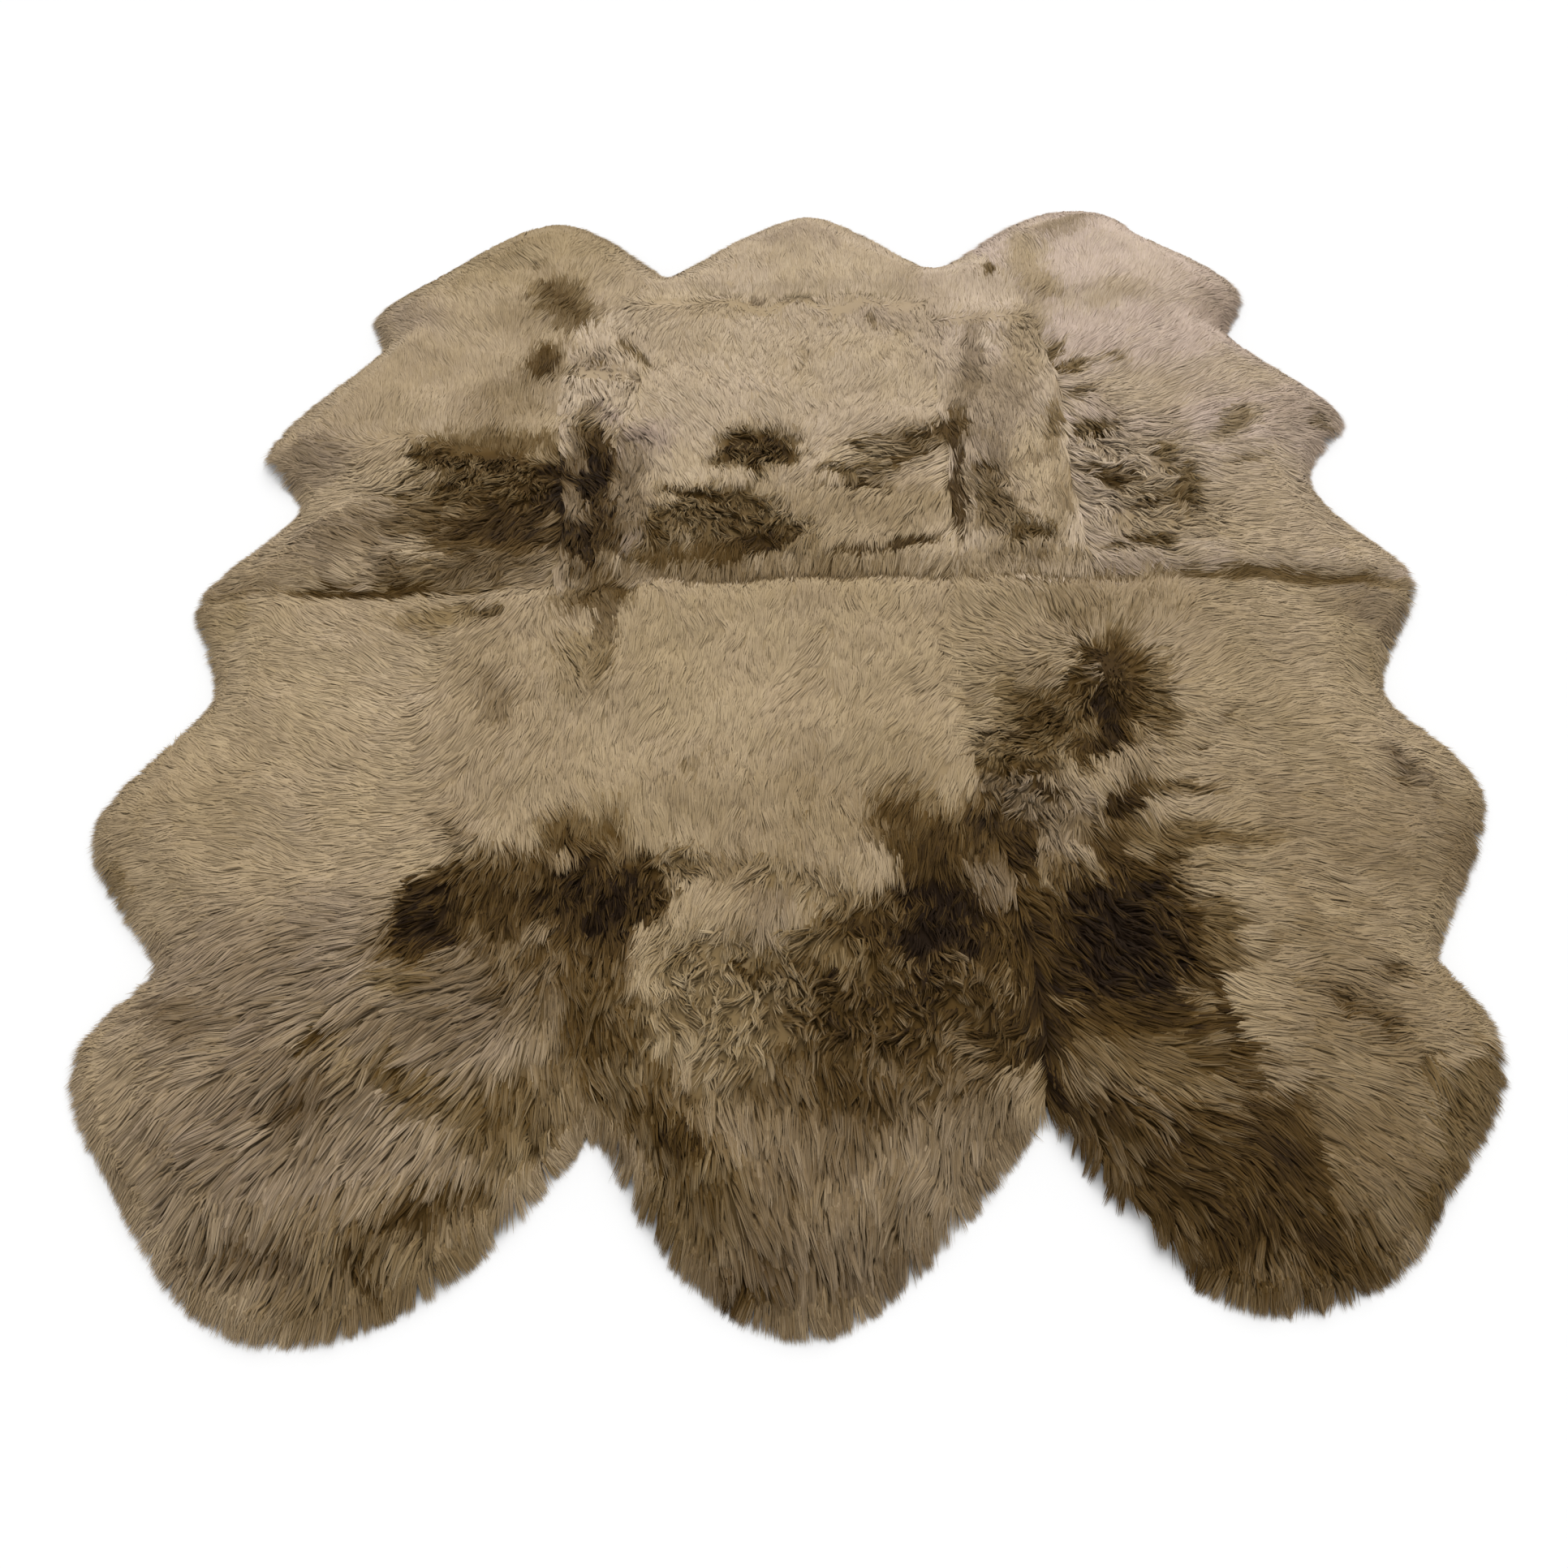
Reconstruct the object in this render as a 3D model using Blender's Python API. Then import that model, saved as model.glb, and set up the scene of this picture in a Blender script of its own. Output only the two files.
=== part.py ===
"""A sheepskin rug sewn from six whole pelts, two rows of three, laid flat with the wool up.

X runs across the rug, Y along it towards the back, Z up. The origin is under the middle of the
rug's box. Each piece that a furrier cuts is one closed solid: a lumpy slab of wool on its skin,
parted from its neighbours at the seams, with wool locks that reach out from it at the rim.
"""

from collections import namedtuple

import bmesh
import bpy
import numpy as np
from mathutils.geometry import delaunay_2d_cdt

# Wool and skin
PILE = 0.047            # wool's height over the floor, away from rim and seams
RIM_PILE = 0.023        # its height where the locks leave the slab
LOWEST_PILE = 0.011     # its height where a seam runs out at the rim
ROLL = 0.0354           # it rises from there in a bell curve of this reach
FURROW = 0.015          # depth of the furrow over a seam
FURROW_REACH = 0.022    # how far it spreads to each side
SEAM_GAP = 0.0003       # clearance between neighbouring pieces
SWELL = 0.00225         # height of each broad swell of the wool
FULL_SWELL = 0.050      # the swells are at full height from this far in
RIM_SWELL = 0.25        # and keep this share of it at the rim
TUFT = 0.0020           # spread of the heights of single tufts
TUFT_SPACING = 0.034    # tufts stand this far apart on the slab
SHIFT_OF_TUFT = 0.0045  # and are moved from an even pattern by up to this much

# Locks at the rim
LOCK_WIDTH = 0.0262     # along the rim, at the root
LOCK_REACH = 0.027      # from the slab out to the rug's outline
NOTCH_REACH = 0.016     # the same at the bottom of a notch
NOTCH_SPREAD = 0.050    # the locks get shorter this near to a notch
LOCK_BEND = 0.58        # a lock's middle section stands at this share of its length
BEND_WIDTH = 0.60       # and keeps this share of the root's width
BEND_HEIGHT = 0.62      # and of its height
SHORTEST_LOCK = 0.76    # the share of the reach that the shortest lock has
LEAN = 0.0050           # locks lean sideways by up to this much at the tip

# How finely the curves are worked out
CURVE_POINTS = 60
CURVE_STEP = 0.004
FINE = 8                # points on each straight run, where the distance to it is measured
CLOSEST = 1e-6          # points nearer than this are one
MITRE_LEAST = 0.25      # keeps a sharp corner's mitre short
SOFTENING = 0.010       # the outline's corners are rounded to about this
COMB = 0.032            # the locks' directions are evened out over this length
SEAM_STEP = 0.034       # length of a seam's straight runs in the solids

SEED = 6

# Finish
SHARP_FROM = 50         # edges that turn by more than this many degrees are shaded sharp
ROUGHNESS = 0.92

# The swells cross each other: radians of each wave to a metre of X and of Y, and where it starts
Wave = namedtuple("Wave", "along_x along_y start")
SWELLS = [Wave(24, 9, 0.4), Wave(-13, 27, 1.9), Wave(36, -17, 3.1), Wave(11, 41, 5.0)]

# The outline, counter-clockwise from the front left. Each lobe has a tip, the heading it faces, how far
# its blunt end runs before and after the tip, and the notch that follows with that notch's rounding.
Lobe = namedtuple("Lobe", "name tip_x tip_y faces before after notch_x notch_y rounding")
LOBES = [
    Lobe("neck, front left", -0.545, -0.963, -88, 0.125, 0.185, -0.257, -0.750, 0.00),
    Lobe("neck, front middle", -0.030, -0.966, -92, 0.150, 0.100, 0.237, -0.750, 0.00),
    Lobe("neck, front right", 0.462, -0.953, -85, 0.145, 0.140, 0.640, -0.852, 0.02),
    Lobe("foreleg, front right", 0.769, -0.685, -2, 0.055, 0.055, 0.722, -0.572, 0.01),
    Lobe("flank, front right", 0.862, -0.338, 2, 0.068, 0.080, 0.780, -0.178, 0.05),
    Lobe("hind legs, right", 0.893, 0.020, -4, 0.048, 0.050, 0.789, 0.222, 0.07),
    Lobe("flank, back right", 0.885, 0.385, 12, 0.060, 0.052, 0.740, 0.590, 0.02),
    Lobe("foreleg, back right", 0.796, 0.710, 4, 0.060, 0.070, 0.640, 0.888, 0.01),
    Lobe("neck, back right", 0.520, 0.970, 92, 0.110, 0.120, 0.254, 0.785, 0.03),
    Lobe("neck, back middle", 0.030, 0.957, 88, 0.085, 0.090, -0.232, 0.761, 0.00),
    Lobe("neck, back left", -0.440, 0.943, 92, 0.085, 0.090, -0.655, 0.766, 0.02),
    Lobe("foreleg, back left", -0.741, 0.655, 183, 0.045, 0.045, -0.706, 0.575, 0.02),
    Lobe("flank, back left", -0.857, 0.300, 177, 0.105, 0.035, -0.769, 0.195, 0.04),
    Lobe("hind legs, left", -0.883, 0.010, 181, 0.052, 0.060, -0.812, -0.165, 0.04),
    Lobe("flank, front left", -0.917, -0.365, 180, 0.068, 0.072, -0.770, -0.562, 0.00),
    Lobe("foreleg, front left", -0.848, -0.670, 182, 0.055, 0.055, -0.765, -0.800, 0.02),
]

# Where seams meet each other, and where they run out at the rim
Meeting = namedtuple("Meeting", "x y at_rim")
MEETINGS = {
    "left end": Meeting(-0.882, 0.020, True),
    "right end": Meeting(0.893, 0.014, True),
    "front left notch": Meeting(-0.257, -0.750, True),
    "front right notch": Meeting(0.237, -0.750, True),
    "back left notch": Meeting(-0.232, 0.761, True),
    "strip top left": Meeting(0.222, 0.790, True),
    "strip top right": Meeting(0.312, 0.828, True),
    "patch back": Meeting(0.768, -0.672, True),
    "patch front": Meeting(0.604, -0.888, True),
    "left strip foot": Meeting(-0.360, 0.011, False),
    "front left head": Meeting(-0.282, 0.018, False),
    "front right head": Meeting(0.217, 0.018, False),
    "right strip foot": Meeting(0.409, 0.015, False),
    "left strip top": Meeting(-0.320, 0.615, False),
    "collar left": Meeting(-0.262, 0.685, False),
    "collar right": Meeting(0.224, 0.670, False),
}

# Each seam runs from one meeting to another, past the points between
Seam = namedtuple("Seam", "start end past")
SEAMS = {
    "cross 1": Seam("left end", "left strip foot", [(-0.69, 0.003), (-0.49, 0.004)]),
    "cross 2": Seam("left strip foot", "front left head", []),
    "cross 3": Seam("front left head", "front right head", [(-0.15, 0.022), (0.05, 0.022)]),
    "cross 4": Seam("front right head", "right strip foot", []),
    "cross 5": Seam("right strip foot", "right end", [(0.59, 0.012), (0.77, 0.006)]),
    "front left": Seam(
        "front left head",
        "front left notch",
        [(-0.297, -0.18), (-0.301, -0.41), (-0.284, -0.61)],
    ),
    "front right": Seam(
        "front right head",
        "front right notch",
        [(0.202, -0.17), (0.205, -0.34), (0.234, -0.49), (0.241, -0.63)],
    ),
    "left strip outer": Seam(
        "left strip foot",
        "left strip top",
        [(-0.366, 0.17), (-0.382, 0.32), (-0.389, 0.43), (-0.366, 0.54)],
    ),
    "left strip inner": Seam(
        "front left head",
        "left strip top",
        [(-0.295, 0.17), (-0.286, 0.33), (-0.262, 0.44), (-0.276, 0.54)],
    ),
    "back left low": Seam("left strip top", "collar left", []),
    "back left high": Seam("collar left", "back left notch", []),
    "right strip inner low": Seam("front right head", "collar right", [(0.220, 0.22), (0.221, 0.42)]),
    "right strip inner high": Seam("collar right", "strip top left", []),
    "right strip outer": Seam(
        "right strip foot",
        "strip top right",
        [(0.406, 0.22), (0.415, 0.45), (0.387, 0.63)],
    ),
    "collar": Seam("collar left", "collar right", [(-0.17, 0.680), (-0.05, 0.666), (0.10, 0.666)]),
    "patch": Seam(
        "patch back",
        "patch front",
        [(0.690, -0.695), (0.642, -0.726), (0.618, -0.79), (0.590, -0.845)],
    ),
}

# Each piece is walked round counter-clockwise: along the rim between two meetings, or along a seam,
# which a minus sign turns round. The colour is that of its wool.
Piece = namedtuple("Piece", "walk colour")
PIECES = {
    "front_left_pelt": Piece(
        [("left end", "front left notch"), "-front left", "-cross 2", "-cross 1"],
        (0.30, 0.22, 0.14),
    ),
    "front_middle_pelt": Piece(
        [("front left notch", "front right notch"), "-front right", "-cross 3", "front left"],
        (0.33, 0.24, 0.15),
    ),
    "front_right_pelt": Piece(
        [
            ("front right notch", "patch front"),
            "-patch",
            ("patch back", "right end"),
            "-cross 5",
            "-cross 4",
            "front right",
        ],
        (0.27, 0.20, 0.12),
    ),
    "front_corner_patch": Piece([("patch front", "patch back"), "patch"], (0.24, 0.17, 0.10)),
    "back_right_pelt": Piece(
        [("right end", "strip top right"), "-right strip outer", "cross 5"],
        (0.40, 0.31, 0.23),
    ),
    "back_right_strip": Piece(
        [
            ("strip top right", "strip top left"),
            "-right strip inner high",
            "-right strip inner low",
            "cross 4",
            "right strip outer",
        ],
        (0.34, 0.26, 0.18),
    ),
    "back_middle_collar": Piece(
        [
            ("strip top left", "back left notch"),
            "-back left high",
            "collar",
            "right strip inner high",
        ],
        (0.42, 0.33, 0.23),
    ),
    "back_middle_pelt": Piece(
        ["cross 3", "right strip inner low", "-collar", "-back left low", "-left strip inner"],
        (0.38, 0.29, 0.19),
    ),
    "back_left_pelt": Piece(
        [
            ("back left notch", "left end"),
            "cross 1",
            "left strip outer",
            "back left low",
            "back left high",
        ],
        (0.31, 0.23, 0.14),
    ),
    "back_left_strip": Piece(["cross 2", "left strip inner", "-left strip outer"], (0.33, 0.26, 0.19)),
}


def heading(degrees):
    """Unit vector that points this way in the floor's plane."""
    return np.array([np.cos(np.radians(degrees)), np.sin(np.radians(degrees))])


def cubic(start, start_handle, end_handle, end):
    """Points of a cubic curve from start up to, but not on, its end."""
    t = np.linspace(0, 1, CURVE_POINTS, endpoint=False)[:, None]
    return (
        (1 - t) ** 3 * start
        + 3 * (1 - t) ** 2 * t * start_handle
        + 3 * (1 - t) * t**2 * end_handle
        + t**3 * end
    )


def evenly(points, count):
    """The open line through these points as count equal runs, both ends kept."""
    along = np.concatenate([[0], np.cumsum(np.linalg.norm(np.diff(points, axis=0), axis=1))])
    at = np.linspace(0, along[-1], count + 1)
    return np.stack([np.interp(at, along, points[:, axis]) for axis in (0, 1)], axis=1)


def averaged(ring, reach):
    """A closed ring of rows, each averaged with its neighbours under a bell curve of this reach."""
    offsets = np.arange(-int(4 * reach / CURVE_STEP), int(4 * reach / CURVE_STEP) + 1)
    weights = np.exp(-0.5 * (offsets * CURVE_STEP / reach) ** 2)
    return sum(w * np.roll(ring, -k, axis=0) for w, k in zip(weights / weights.sum(), offsets))


def rug_outline():
    """The wool's outline: two cubic curves a lobe, tip to notch to next tip, in even short steps."""
    runs = []
    for lobe, following in zip(LOBES, LOBES[1:] + LOBES[:1]):
        tip = np.array([lobe.tip_x, lobe.tip_y])
        notch = np.array([lobe.notch_x, lobe.notch_y])
        next_tip = np.array([following.tip_x, following.tip_y])
        level = lobe.rounding * (next_tip - tip) / np.linalg.norm(next_tip - tip)
        runs.append(cubic(tip, tip + lobe.after * heading(lobe.faces + 90), notch - level, notch))
        next_handle = next_tip - following.before * heading(following.faces + 90)
        runs.append(cubic(notch, notch + level, next_handle, next_tip))
    ring = np.vstack(runs + [runs[0][:1]])
    length = np.linalg.norm(np.diff(ring, axis=0), axis=1).sum()
    return averaged(evenly(ring, round(length / CURVE_STEP))[:-1], SOFTENING)


def outward(ring):
    """Unit vectors out of a counter-clockwise ring, evened out along it."""
    travel = np.roll(ring, -1, axis=0) - np.roll(ring, 1, axis=0)
    normal = averaged(np.stack([travel[:, 1], -travel[:, 0]], axis=1), COMB)
    return normal / np.linalg.norm(normal, axis=1)[:, None]


def distance(points, line):
    """How far each point lies from the nearest point of a finely drawn line."""
    gaps = points[:, None, :] - line[None, :, :]
    return np.sqrt((gaps**2).sum(axis=2).min(axis=1))


def smooth_path(points):
    """A Catmull-Rom curve through these points."""
    ends = np.vstack([2 * points[0] - points[1], points, 2 * points[-1] - points[-2]])
    runs = []
    for a, b, c, d in zip(ends, ends[1:], ends[2:], ends[3:]):
        runs.append(cubic(b, b + (c - a) / 6, c - (d - b) / 6, c))
    return np.vstack(runs + [points[-1:]])


def swells(points):
    """The sum of the crossing waves, which are about 0.15 to 0.25 m long."""
    return SWELL * sum(
        np.sin(points @ (wave.along_x, wave.along_y) + wave.start) for wave in SWELLS
    )


def inside(points, ring):
    """Which points lie inside a closed ring: an odd number of its edges is crossed on the way out."""
    x, y = points[:, None, 0], points[:, None, 1]
    ax, ay = ring[None, :, 0], ring[None, :, 1]
    bx, by = np.roll(ax, -1, axis=1), np.roll(ay, -1, axis=1)
    spans = (ay > y) != (by > y)
    rise = np.where(by == ay, 1, by - ay)
    return (spans & (x < ax + (y - ay) * (bx - ax) / rise)).sum(axis=1) % 2 == 1


class Rug:
    """The curves that every piece shares, centred on the rug's box."""

    def __init__(self):
        ring = rug_outline()
        self.middle = (ring.min(axis=0) + ring.max(axis=0)) / 2
        self.outline = ring - self.middle
        self.outward = outward(self.outline)
        notches = np.array([(lobe.notch_x, lobe.notch_y) for lobe in LOBES]) - self.middle
        near_notch = np.exp(-((distance(self.outline, notches) / NOTCH_SPREAD) ** 2))
        reach = LOCK_REACH - (LOCK_REACH - NOTCH_REACH) * near_notch
        self.slab_edge = self.outline - self.outward * reach[:, None]
        self.seams = {name: self.seam_line(seam) for name, seam in SEAMS.items()}
        self.all_seams = np.vstack([evenly(line, FINE * len(line)) for line in self.seams.values()])
        self.tufts = self.tuft_places()

    def rim_index(self, name):
        """The step of the outline nearest to a meeting at the rim."""
        place = np.array(MEETINGS[name][:2]) - self.middle
        return int(np.argmin(((self.outline - place) ** 2).sum(axis=1)))

    def meeting(self, name):
        """Where a meeting lies on the slabs: at the slab's edge if it is at the rim."""
        if MEETINGS[name].at_rim:
            return self.slab_edge[self.rim_index(name)]
        return np.array(MEETINGS[name][:2]) - self.middle

    def seam_line(self, seam):
        past = [np.array(point) - self.middle for point in seam.past]
        path = smooth_path(np.array([self.meeting(seam.start), *past, self.meeting(seam.end)]))
        length = np.linalg.norm(np.diff(path, axis=0), axis=1).sum()
        return evenly(path, max(2, round(length / SEAM_STEP)))

    def rim_line(self, start, end):
        """The slab's edge between two meetings, a run for each lock, and the locks' tips."""
        first, last = self.rim_index(start), self.rim_index(end)
        last += len(self.outline) * (last <= first)
        steps = np.arange(first, last + 1) % len(self.outline)
        edge = self.slab_edge[steps]
        along = np.concatenate([[0], np.cumsum(np.linalg.norm(np.diff(edge, axis=0), axis=1))])
        locks = round(along[-1] / LOCK_WIDTH)
        middles = (np.arange(locks) + 0.5) * along[-1] / locks
        tips = [np.interp(middles, along, self.outline[steps, axis]) for axis in (0, 1)]
        return evenly(edge, locks), np.stack(tips, axis=1)

    def tuft_places(self):
        """An even triangular pattern over the whole rug, each point moved a little."""
        row_gap = TUFT_SPACING * np.sqrt(3) / 2
        half = np.abs(self.outline).max() + TUFT_SPACING
        rows = np.arange(-half, half, row_gap)
        columns = np.arange(-half, half, TUFT_SPACING)
        x, y = np.meshgrid(columns, rows)
        x = x + TUFT_SPACING / 2 * (np.arange(len(rows)) % 2)[:, None]
        even = np.stack([x.ravel(), y.ravel()], axis=1)
        return even + np.random.default_rng(SEED).uniform(-SHIFT_OF_TUFT, SHIFT_OF_TUFT, even.shape)

    def height(self, points):
        """The wool's top: level, rolled down towards the rim, furrowed over the seams, and lumpy."""
        to_rim = distance(points, self.slab_edge)
        to_seam = distance(points, self.all_seams)
        roll = (PILE - RIM_PILE) * np.exp(-((to_rim / ROLL) ** 2))
        furrow = FURROW * np.exp(-((to_seam / FURROW_REACH) ** 2))
        swell = swells(points) * np.clip(to_rim / FULL_SWELL, RIM_SWELL, 1)
        return np.maximum(PILE - roll - furrow + swell, LOWEST_PILE)


def drawn_in(ring, by):
    """A counter-clockwise ring with every side moved inwards by this much, corners mitred."""
    sides = np.roll(ring, -1, axis=0) - ring
    sides /= np.linalg.norm(sides, axis=1)[:, None]
    inward = np.stack([-sides[:, 1], sides[:, 0]], axis=1)
    before = np.roll(inward, 1, axis=0)
    mitre = inward + before
    return ring + by * mitre / np.maximum(1 + (inward * before).sum(axis=1), MITRE_LEAST)[:, None]


def add_lock(mesh, low, high, tip, rng):
    """A wool lock of four sides from the wall between two rim corners out to its tip on the floor."""
    root = [np.array(corner.co) for corner in (*low, *high)]
    middle = (root[0][:2] + root[1][:2]) / 2
    side = (root[1][:2] - root[0][:2]) / 2
    reach = (tip - middle) * rng.uniform(SHORTEST_LOCK, 1)
    point = middle + reach + rng.uniform(-1, 1) * LEAN * side / np.linalg.norm(side)
    bend = middle + LOCK_BEND * reach
    bend_height = BEND_HEIGHT * (root[2][2] + root[3][2]) / 2
    corners = [bend - BEND_WIDTH * side, bend + BEND_WIDTH * side]
    bend_low = [mesh.verts.new((x, y, 0)) for x, y in corners]
    bend_high = [mesh.verts.new((x, y, bend_height)) for x, y in corners]
    end = mesh.verts.new((*point, 0))
    for face in (
        (low[0], low[1], bend_low[1], bend_low[0]),
        (high[0], bend_high[0], bend_high[1], high[1]),
        (low[0], bend_low[0], bend_high[0], high[0]),
        (low[1], high[1], bend_high[1], bend_low[1]),
        (bend_low[0], bend_low[1], end),
        (bend_high[0], end, bend_high[1]),
        (bend_low[0], end, bend_high[0]),
        (bend_low[1], bend_high[1], end),
    ):
        mesh.faces.new(face)


def piece_ring(rug, walk):
    """A piece's corners, counter-clockwise, with the lock's tip for each run at the rim."""
    corners, tips = [], []
    for step in walk:
        if isinstance(step, tuple):
            line, points = rug.rim_line(*step)
            tips += list(points)
        else:
            line = rug.seams[step.lstrip("-")]
            line = line[::-1] if step.startswith("-") else line
            tips += [None] * (len(line) - 1)
        corners.append(line[:-1])
    return np.vstack(corners), tips


def piece_mesh(rug, name, walk, rng):
    """The piece's slab, from its flat skin on the floor to its lumpy wool, and the locks at its rim."""
    corners, tips = piece_ring(rug, walk)
    edge = evenly(np.vstack([corners, corners[:1]]), FINE * len(corners))
    clear = distance(rug.tufts, edge)
    tufts = rug.tufts[inside(rug.tufts, corners) & (clear > TUFT_SPACING / 2)]
    over_tufts = rug.height(tufts) + rng.normal(0, TUFT, len(tufts))
    heights = np.concatenate([rug.height(corners), over_tufts])
    ring = drawn_in(corners, SEAM_GAP / 2)
    count = len(ring)
    plan, _, triangles, origins, _, _ = delaunay_2d_cdt(
        np.vstack([ring, tufts]).tolist(), [], [list(range(count))], 1, CLOSEST
    )
    mesh = bmesh.new()
    top = {}
    for place, origin in zip(plan, origins):
        top[origin[0]] = mesh.verts.new((place.x, place.y, heights[origin[0]]))
    order = [origin[0] for origin in origins]
    bottom = [mesh.verts.new((x, y, 0)) for x, y in ring]
    for triangle in triangles:
        mesh.faces.new([top[order[k]] for k in triangle])
    mesh.faces.new(bottom[::-1])
    for k, tip in enumerate(tips):
        after = (k + 1) % count
        low, high = (bottom[k], bottom[after]), (top[k], top[after])
        if tip is None:
            mesh.faces.new((low[0], low[1], high[1], high[0]))
        else:
            add_lock(mesh, low, high, tip, rng)
    bmesh.ops.triangulate(mesh, faces=mesh.faces[:])
    data = bpy.data.meshes.new(name)
    mesh.to_mesh(data)
    mesh.free()
    return data


def centre_under(whole, pieces):
    """Moves the whole rug so that the middle of its box stands over the origin."""
    places = []
    for piece in pieces:
        flat = np.empty(len(piece.data.vertices) * 3)
        piece.data.vertices.foreach_get("co", flat)
        places.append(flat.reshape(-1, 3))
    places = np.vstack(places)
    middle = (places.min(axis=0) + places.max(axis=0)) / 2
    whole.location = (-middle[0], -middle[1], 0)


def wool(name, colour):
    """The plain look of one piece's wool."""
    material = bpy.data.materials.new(name + "_wool")
    material.use_nodes = True
    shader = material.node_tree.nodes["Principled BSDF"]
    shader.inputs["Base Color"].default_value = (*colour, 1)
    shader.inputs["Roughness"].default_value = ROUGHNESS
    shader.inputs["Metallic"].default_value = 0
    return material


def main():
    for old in list(bpy.data.objects):
        bpy.data.objects.remove(old)
    rug = Rug()
    rng = np.random.default_rng(SEED)
    whole = bpy.data.objects.new("sheepskin_rug", None)
    bpy.context.scene.collection.objects.link(whole)
    pieces = []
    for name, piece in PIECES.items():
        obj = bpy.data.objects.new(name, piece_mesh(rug, name, piece.walk, rng))
        obj.data.materials.append(wool(name, piece.colour))
        obj.data.shade_smooth()
        obj.data.set_sharp_from_angle(angle=np.radians(SHARP_FROM))
        obj.parent = whole
        bpy.context.scene.collection.objects.link(obj)
        pieces.append(obj)
    centre_under(whole, pieces)


main()
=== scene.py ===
"""Sheepskin rug: six whole pelts in two rows, with the strips let in between them, wool side up.

The skins lie flat on the floor. Over them stands a short, dense underwool, and on top of that the long
combed wool, strand by strand, gathered into tufts, which hangs over the rim down to the floor.
"""

from collections import namedtuple

import bpy
import numpy as np
from mathutils.geometry import delaunay_2d_cdt
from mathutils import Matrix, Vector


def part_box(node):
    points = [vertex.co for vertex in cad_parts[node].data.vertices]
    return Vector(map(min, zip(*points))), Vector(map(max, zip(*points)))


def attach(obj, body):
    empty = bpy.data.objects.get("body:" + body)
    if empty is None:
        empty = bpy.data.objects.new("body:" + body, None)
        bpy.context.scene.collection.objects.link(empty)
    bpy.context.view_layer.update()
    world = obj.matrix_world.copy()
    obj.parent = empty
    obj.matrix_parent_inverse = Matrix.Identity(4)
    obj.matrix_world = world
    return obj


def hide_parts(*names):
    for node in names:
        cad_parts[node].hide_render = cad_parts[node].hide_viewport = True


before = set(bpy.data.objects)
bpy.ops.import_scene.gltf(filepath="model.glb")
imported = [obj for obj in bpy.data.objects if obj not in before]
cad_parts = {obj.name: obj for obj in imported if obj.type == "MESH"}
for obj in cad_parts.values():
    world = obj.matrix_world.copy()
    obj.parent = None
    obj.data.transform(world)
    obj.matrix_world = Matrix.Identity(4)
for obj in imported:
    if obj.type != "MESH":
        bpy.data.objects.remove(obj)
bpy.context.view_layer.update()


# The skins. Each pelt is a tanned hide, cut along its seams and laid edge to edge with its neighbours.
# The rim follows the legs and the necks: every lobe has a blunt tip, and a notch parts it from the next.
# These tables are in mm from a point near the rug's middle, and degrees.
#
# A lobe is its tip, the way that it faces, the lengths of the curve's handles before and after the tip,
# and then the notch that follows, with the length of its own handles.
Lobe = namedtuple("Lobe", "tip_x tip_y faces before after notch_x notch_y rounding")
LOBES = [
    Lobe(-545, -963, -88, 125, 185, -257, -750, 0),
    Lobe(-30, -966, -92, 150, 100, 237, -750, 0),
    Lobe(462, -953, -85, 145, 140, 640, -852, 20),
    Lobe(769, -685, -2, 55, 55, 722, -572, 10),
    Lobe(862, -338, 2, 68, 80, 780, -178, 50),
    Lobe(893, 20, -4, 48, 50, 789, 222, 70),
    Lobe(885, 385, 12, 60, 52, 740, 590, 20),
    Lobe(796, 710, 4, 60, 70, 640, 888, 10),
    Lobe(520, 970, 92, 110, 120, 254, 785, 30),
    Lobe(30, 957, 88, 85, 90, -232, 761, 0),
    Lobe(-440, 943, 92, 85, 90, -655, 766, 20),
    Lobe(-741, 655, 183, 45, 45, -706, 575, 20),
    Lobe(-857, 300, 177, 105, 35, -769, 195, 40),
    Lobe(-883, 10, 181, 52, 60, -812, -165, 40),
    Lobe(-917, -365, 180, 68, 72, -770, -562, 0),
    Lobe(-848, -670, 182, 55, 55, -765, -800, 20),
]
MEETINGS = {
    "left end": (-882, 20),
    "right end": (893, 14),
    "front left notch": (-257, -750),
    "front right notch": (237, -750),
    "back left notch": (-232, 761),
    "strip top left": (222, 790),
    "strip top right": (312, 828),
    "patch back": (768, -672),
    "patch front": (604, -888),
    "left strip foot": (-360, 11),
    "front left head": (-282, 18),
    "front right head": (217, 18),
    "right strip foot": (409, 15),
    "left strip top": (-320, 615),
    "collar left": (-262, 685),
    "collar right": (224, 670),
}
RIM_MEETINGS = list(MEETINGS)[:9]
SEAMS = {
    "cross 1": ["left end", (-690, 3), (-490, 4), "left strip foot"],
    "cross 2": ["left strip foot", "front left head"],
    "cross 3": ["front left head", (-150, 22), (50, 22), "front right head"],
    "cross 4": ["front right head", "right strip foot"],
    "cross 5": ["right strip foot", (590, 12), (770, 6), "right end"],
    "front left": ["front left head", (-297, -180), (-301, -410), (-284, -610), "front left notch"],
    "front right": [
        "front right head", (202, -170), (205, -340), (234, -490), (241, -630), "front right notch",
    ],
    "left strip outer": [
        "left strip foot", (-366, 170), (-382, 320), (-389, 430), (-366, 540), "left strip top",
    ],
    "left strip inner": [
        "front left head", (-295, 170), (-286, 330), (-262, 440), (-276, 540), "left strip top",
    ],
    "back left low": ["left strip top", "collar left"],
    "back left high": ["collar left", "back left notch"],
    "right strip inner low": ["front right head", (220, 220), (221, 420), "collar right"],
    "right strip inner high": ["collar right", "strip top left"],
    "right strip outer": ["right strip foot", (406, 220), (415, 450), (387, 630), "strip top right"],
    "collar": ["collar left", (-170, 680), (-50, 666), (100, 666), "collar right"],
    "patch": ["patch back", (690, -695), (642, -726), (618, -790), (590, -845), "patch front"],
}
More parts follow.
